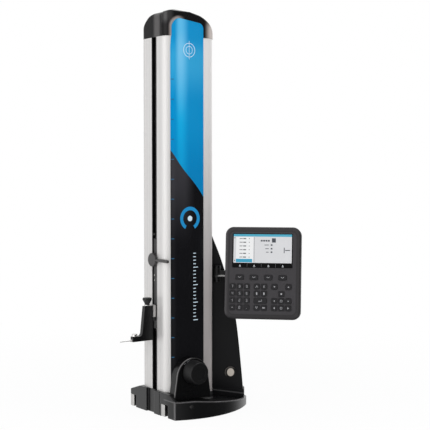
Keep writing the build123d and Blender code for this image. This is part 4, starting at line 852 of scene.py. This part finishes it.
def function_marks():
    """Marks of the seven function keys: three rows of two, and one wide key with a return arrow."""
    left, right = FUNCTION_X, FUNCTION_X + KEY_STEP
    top, middle, low = key_z(0), key_z(1), key_z(3)
    out = stroke([(left - 2.6, top - 2.4), (left, top + 2.6), (left + 2.6, top - 2.4)], 1.1)
    out += [mid_rect(right, top, 0.9, 3.2)]
    out += [mid_rect(x, middle, 1.7, 3.2) for x in (left, right)]
    out += stroke([(left - 2.8, low + 2.4), (left, low - 2.6), (left + 2.8, low + 2.4),
                   (left - 2.8, low + 2.4)], 0.9)
    out += [rect(right - 3.6, right + 1.0, low - 1.5, low + 1.5), turned(WEDGE, right + 2.4, low, -90, 0.8)]
    x, z = (left + right) / 2, key_z(2)
    out += stroke([(x + 3.5, z + 2.6), (x + 3.5, z - 1.6), (x - 3.2, z - 1.6)], 1.1)
    out += [turned(WEDGE, x - 3.6, z - 1.6, 90, 0.8)]
    return out


def cursor_marks():
    """Marks of the nine cursor keys: down, up and a dot above, arrows and boxes in the two rows below."""
    columns = [CURSOR_X + CURSOR_STEP * i for i in range(3)]
    out = [turned(WEDGE, columns[0], key_z(0), 180), turned(WEDGE, columns[2], key_z(0))]
    out += [disc(columns[1], key_z(1), 2.4)]
    for row, size in ((2, 0.9), (3, 1.15)):
        z = key_z(row)
        x = columns[1]
        out += [turned(WEDGE, columns[0], z, 90, size)]
        out += stroke([(x - 2.3, z - 2.3), (x + 2.3, z - 2.3), (x + 2.3, z + 2.3), (x - 2.3, z + 2.3),
                       (x - 2.3, z - 2.3)], 1.0)
        out += [turned(WEDGE, columns[2], z, -90, size)]
    return out


for index, text in enumerate(PAD):
    x = NUMBER_X + KEY_STEP * (index % 3)
    legend(f"legend_number_{index + 1:02d}", figure(text, x, key_z(index // 3), FIGURE_SIZE),
           f"key_number_key_{index + 1:02d}")
for index in range(SOFT_KEYS):
    x = SOFT_KEY_X + SOFT_KEY_STEP * index
    legend(f"legend_soft_{index + 1}", stroke([(x - 3.4, -10.4), (x, -12.2), (x + 3.4, -10.4)], 1.2),
           f"key_soft_key_{index + 1}")
legend("legend_functions", function_marks(), "function_keys_body")
legend("legend_cursors", cursor_marks(), "cursor_keys_body")

# ---------------------------------------------------------------- prints on the facing
COLUMN_FRONT = -63.0
CORNER_R = 27.0
CORNER_X, CORNER_Y = -48.0, COLUMN_FRONT + CORNER_R     # middle of the column's front left corner
FILM_OUT = 0.8
TICKS, TICK_FOOT, TICK_STEP = 15, 150.0, 50.0
TICK_LEFT, TICK_LEG, TICK_LEGS = -62.8, 1.4, 5          # a tick is made of short legs round the corner
TICK_HALF_HEIGHT = 0.9
BLUE_FROM = 655.0
RING_X, RING_Z = -8.0, 500.0
TARGET_X, TARGET_Z = -10.0, 925.0
RULE_X, RULE_FOOT, RULE_STEP, RULE_BARS = 2.0, 240.0, 9.0, 20


def film_surface(x, lift):
    """Y of the facing's outside at x, raised by lift, round the front left corner."""
    r = CORNER_R + FILM_OUT + lift
    if x >= CORNER_X:
        return COLUMN_FRONT - FILM_OUT - lift
    dx = min(CORNER_X - x, r * 0.999)
    return CORNER_Y - sqrt(r * r - dx * dx)


def film_put(x, z, out):
    return Vector((x, film_surface(x, PRINT_GAP + out), z)) * MM


def facing_print(name, outlines, material):
    plates(name, outlines, FACING_INK_DEPTH, film_put, "column", material)


def ticks(heights):
    middles = [TICK_LEFT + TICK_LEG * (i + 0.5) for i in range(TICK_LEGS)]
    return [mid_rect(x, z, TICK_LEG / 2, TICK_HALF_HEIGHT) for z in heights for x in middles]


def rule_bar(index):
    """One bar of the small printed rule; every fifth is longer."""
    z = RULE_FOOT + RULE_STEP * index
    return rect(RULE_X, RULE_X + (14.0 if index % 5 == 0 else 8.0), z - 1.0, z + 1.0)


tick_heights = [TICK_FOOT + TICK_STEP * i for i in range(TICKS)]
facing_print("ticks_on_black", ticks([z for z in tick_heights if z <= BLUE_FROM]), ink_tick)
facing_print("ticks_on_blue", ticks([z for z in tick_heights if z > BLUE_FROM]), ink_navy)
facing_print("motif_ring", ring(RING_X, RING_Z, 21.0, 30.0, -60, 240), ink_blue)
facing_print("motif_dot", [disc(RING_X, RING_Z, 7.0)], ink_pale)
facing_print("motif_bars", [rule_bar(i) for i in range(RULE_BARS)], ink_pale)
facing_print("motif_top", ring(TARGET_X, TARGET_Z, 16.5, 18.0) + ring(TARGET_X, TARGET_Z, 9.0, 10.2)
             + [mid_rect(TARGET_X, TARGET_Z, 0.6, 23.0)], ink_pale)

# ---------------------------------------------------------------- small fittings
COLUMN_LEFT = -75.0
LIP = rect(-12.6, -10.5, 60.5, 958.5)                   # pale grey strip along the slot's front edge
COVER_FACE, COVER_MIDDLE = -72.0, 4.2                   # x of the carriage cover's face, y of its screws
COVER_SCREWS = (354.0, 341.0)
DOME_FACE, DOME_X, DOME_Z = -88.0, -16.0, 99.5
PLUG_MIDDLE = (-43.0, -118.3, 32.0)
PLUG_PROFILE = [(0.3, 0.0), (3.9, 0.0), (3.9, 0.7), (3.2, 1.1), (0.3, 1.1)]
KNOB_RING_PROFILE = [(6.5, 0.0), (7.1, 0.3), (7.1, 2.2), (6.5, 2.5)]
KNOB_RING_BELOW_TOP = 20.5
SWIVEL_RING_MIDDLE = (100.0, -31.0, 343.5)
SWIVEL_RING_PROFILE = [(10.0, 0.0), (10.8, 0.3), (10.8, 3.2), (10.0, 3.5)]
RIBS, RIB_RADII, RIB_BELOW_TOP = 36, (11.3, 11.75), (5.6, 2.2)
BOX_FACES = ((0, 1, 3, 2), (4, 5, 7, 6), (0, 1, 5, 4), (2, 3, 7, 6), (0, 2, 6, 4), (1, 3, 7, 5))
LAP_STEPS = 4
LAPS = ((60.5, 2.3), (930.0, 2.3), (957.0, 0.6))        # heights, and how far round the corner it laps
LAP_FROM = (-61.6, -59.32)                              # x and y where the facing's solid ends

knob_low, knob_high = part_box("probe_clamp_knob")
knob_x = (knob_low[0] + knob_high[0]) / 2 / MM
knob_z = knob_high[2] / MM


def film_edge():
    """The facing laps a little further round the corner than its solid, less at the rounded top."""
    start = atan2(LAP_FROM[1] - CORNER_Y, LAP_FROM[0] - CORNER_X)
    verts, faces = [], []
    for z, lap in LAPS:
        for radius in (CORNER_R + PRINT_GAP, CORNER_R + FILM_OUT):
            for step in range(LAP_STEPS + 1):
                turn = start - lap / CORNER_R * step / LAP_STEPS
                verts.append(Vector((CORNER_X + radius * cos(turn), CORNER_Y + radius * sin(turn), z)) * MM)

    def vert(level, side, step):
        return (2 * level + side) * (LAP_STEPS + 1) + step

    last = len(LAPS) - 1
    for low in range(last):
        up = low + 1
        for step in range(LAP_STEPS):
            for side in (0, 1):
                faces.append((vert(low, side, step), vert(low, side, step + 1),
                              vert(up, side, step + 1), vert(up, side, step)))
        for step in (0, LAP_STEPS):
            faces.append((vert(low, 0, step), vert(low, 1, step), vert(up, 1, step), vert(up, 0, step)))
    for level in (0, last):
        for step in range(LAP_STEPS):
            faces.append((vert(level, 0, step), vert(level, 0, step + 1),
                          vert(level, 1, step + 1), vert(level, 1, step)))
    piece("film_edge", verts, faces, "column", film_print)


def knob_ribs():
    """Low upright ribs round the head of the clamp knob."""
    verts, faces = [], []
    for index in range(RIBS):
        turns = (2 * pi * index / RIBS, 2 * pi * (index + 0.5) / RIBS)
        first = len(verts)
        for radius in RIB_RADII:
            for below in RIB_BELOW_TOP:
                z = knob_z - below
                verts += [Vector((knob_x + radius * cos(a), radius * sin(a), z)) * MM for a in turns]
        faces += [tuple(first + i for i in face) for face in BOX_FACES]
    piece("knob_ribs", verts, faces, "clamp_knob", black_plastic)


film_edge()
plates("slot_lip", [LIP], 0.10, on_left(COLUMN_LEFT), "column", slot_edge_grey)
plates("cover_screws", [disc(COVER_MIDDLE, z, 1.7, 16) for z in COVER_SCREWS], 0.4, on_left(COVER_FACE),
       "carriage", steel_bright)
plates("cover_stud", [disc(4.6, 459.0, 2.6, 16)], 0.8, on_left(COVER_FACE), "carriage",
       lever_plastic)
dome_marks = ring(DOME_X, DOME_Z, 42.9, 44.3, 104, 116, 8) + ring(DOME_X, DOME_Z, 42.9, 44.3, 121, 129, 5)
plates("dome_marks", dome_marks, 0.08, on_front(DOME_FACE), "column", mark_grey)
lathe("base_plug", PLUG_PROFILE, PLUG_MIDDLE, (0, -1, 0), "column", lever_plastic)
lathe("knob_collar_ring", KNOB_RING_PROFILE, (knob_x, 0.0, knob_z - KNOB_RING_BELOW_TOP), Z_AXIS,
      "clamp_knob", steel_bright)
knob_ribs()
lathe("swivel_collar_ring", SWIVEL_RING_PROFILE, SWIVEL_RING_MIDDLE, Z_AXIS, "panel_arm",
      steel_satin)

# the panel's rear: vents, a plate and its lines of text as plain bars
vents = [rect(-34.0 + 9.0 * i, -29.5 + 9.0 * i, 62.0, 92.0) for i in range(8)]
plate_bars = [rect(-21.0, 21.0 - 9.0 * (i % 2), -73.6 - 5.0 * i, -72.2 - 5.0 * i) for i in range(4)]
plates("panel_vents", vents, 0.10, on_panel_rear, "control_panel", black_plastic)
plates("panel_rear_plate", [rect(-26.0, 26.0, -92.0, -68.0)], 0.15, on_panel_rear, "control_panel",
       steel_ground)
plates("panel_rear_marks", plate_bars, 0.25, on_panel_rear, "control_panel", mark_grey)

# ---------------------------------------------------------------- studio
# what the object reflects: a direction, the cosines to it where a patch begins and is full, and
# the brightness outside and inside the patch
DARK_SIDE = ((0.60, -0.80, 0.0), 0.35, 0.90, 1.0, 0.05)
LEFT_WINDOW = ((-0.99, -0.06, 0.1), 0.90, 0.985, 0.0, 2.6)
LAMP_ABOVE = ((0.50, -0.10, 0.86), 0.85, 0.97, 0.0, 3.0)
ROOM_COLOUR, ROOM_STRENGTH = (0.97, 0.985, 1.0, 1), 0.62
LAMP_TARGET = (0.0, 0.0, 0.5)
LAMPS = (                               # name, place, width and height in metres, power in watts
    ("side", (-2.5, 0.45, 0.9), 1.7, 2.4, 20.0),
    ("key", (-2.0, -1.9, 2.1), 1.2, 1.6, 30.0),
    ("fill", (1.9, -2.2, 1.5), 1.4, 1.4, 16.0),
)
FLOOR_HALF, FLOOR_DROP = 12, 0.0002
FLOOR_FADE = (0.3, 1.6)                 # metres from the origin over which the floor turns fully white


def sharp_rays(nodes):
    """The camera ray, and 1 for camera, glossy and transmission rays together."""
    path = nodes.node("ShaderNodeLightPath")
    camera_ray = path.outputs["Is Camera Ray"]
    sharp = nodes.larger(camera_ray, path.outputs["Is Glossy Ray"])
    return camera_ray, nodes.larger(sharp, path.outputs["Is Transmission Ray"])


def mixed_shader(nodes, mask, hidden, shown, target):
    """Links two shaders to a target: hidden where the mask is 0, shown where it is 1."""
    mixed = nodes.node("ShaderNodeMixShader")
    for socket, source in zip(mixed.inputs, (mask, hidden, shown)):
        nodes.link(source, socket)
    nodes.link(mixed.outputs[0], target)


def background(nodes, colour, strength):
    n = nodes.node("ShaderNodeBackground")
    n.inputs["Color"].default_value = colour
    nodes.feed(n.inputs["Strength"], strength)
    return n.outputs[0]


def patch(nodes, direction, begin, full, outside, inside):
    """A soft patch of brightness round a direction of the sky."""
    return nodes.ramp(nodes.dot(direction), begin, full, outside, inside)


def studio_world():
    """An even room gives the light and the camera sees plain white. Reflections show a bright room
    with a dark side towards the front right, a window on the left and a lamp above."""
    world = bpy.data.worlds.new("studio")
    scene.world = world
    world.use_nodes = True
    w = Nodes(world.node_tree, "Generated")
    camera_ray, sharp = sharp_rays(w)
    sky = w.plus(patch(w, *DARK_SIDE), w.plus(patch(w, *LEFT_WINDOW), patch(w, *LAMP_ABOVE)))
    reflected = w.times(sky, w.minus(1.0, camera_ray))
    shown = background(w, (1.0, 1.0, 1.0, 1), w.larger(reflected, camera_ray))
    room = background(w, ROOM_COLOUR, ROOM_STRENGTH)
    mixed_shader(w, sharp, room, shown, w.node("ShaderNodeOutputWorld").inputs["Surface"])


def lamp(name, place, width, height, power):
    """A rectangular lamp that lights but is neither seen nor reflected."""
    data = bpy.data.lights.new(name, "AREA")
    data.shape = "RECTANGLE"
    data.size = width
    data.size_y = height
    data.energy = power
    obj = bpy.data.objects.new(name, data)
    obj.location = place
    obj.rotation_euler = (Vector(LAMP_TARGET) - Vector(place)).to_track_quat("-Z", "Y").to_euler()
    obj.visible_camera = False
    obj.visible_glossy = False
    scene.collection.objects.link(obj)


def floor_material():
    """Matt white that takes a soft shadow near the object and is plain white to the camera beyond it."""
    g = Material("floor_white")
    g.set(Base_Color=g.mix(g.noise(2.0), (0.955, 0.955, 0.955, 1), (0.97, 0.97, 0.97, 1)))
    g.set(Roughness=0.9, Specular_IOR_Level=0.1)
    length = g.node("ShaderNodeVectorMath", operation="LENGTH")
    g.link(g.node("ShaderNodeNewGeometry").outputs["Position"], length.inputs[0])
    sharp = sharp_rays(g)[1]
    mask = g.times(sharp, g.ramp(length.outputs["Value"], *FLOOR_FADE, 0.93, 1.0))
    white = g.node("ShaderNodeEmission").outputs[0]
    mixed_shader(g, mask, g.bsdf.outputs[0], white, g.out.inputs["Surface"])
    return g.mat


studio_world()
for row in LAMPS:
    lamp(*row)

corners = [(-FLOOR_HALF, -FLOOR_HALF, 0), (FLOOR_HALF, -FLOOR_HALF, 0),
           (FLOOR_HALF, FLOOR_HALF, 0), (-FLOOR_HALF, FLOOR_HALF, 0)]
floor = bpy.data.meshes.new("floor")
floor.from_pydata(corners, [], [(0, 1, 2, 3)])
floor_obj = bpy.data.objects.new("floor", floor)
floor_obj.location.z = -FLOOR_DROP
scene.collection.objects.link(floor_obj)
floor_obj.visible_glossy = False
floor.materials.append(floor_material())
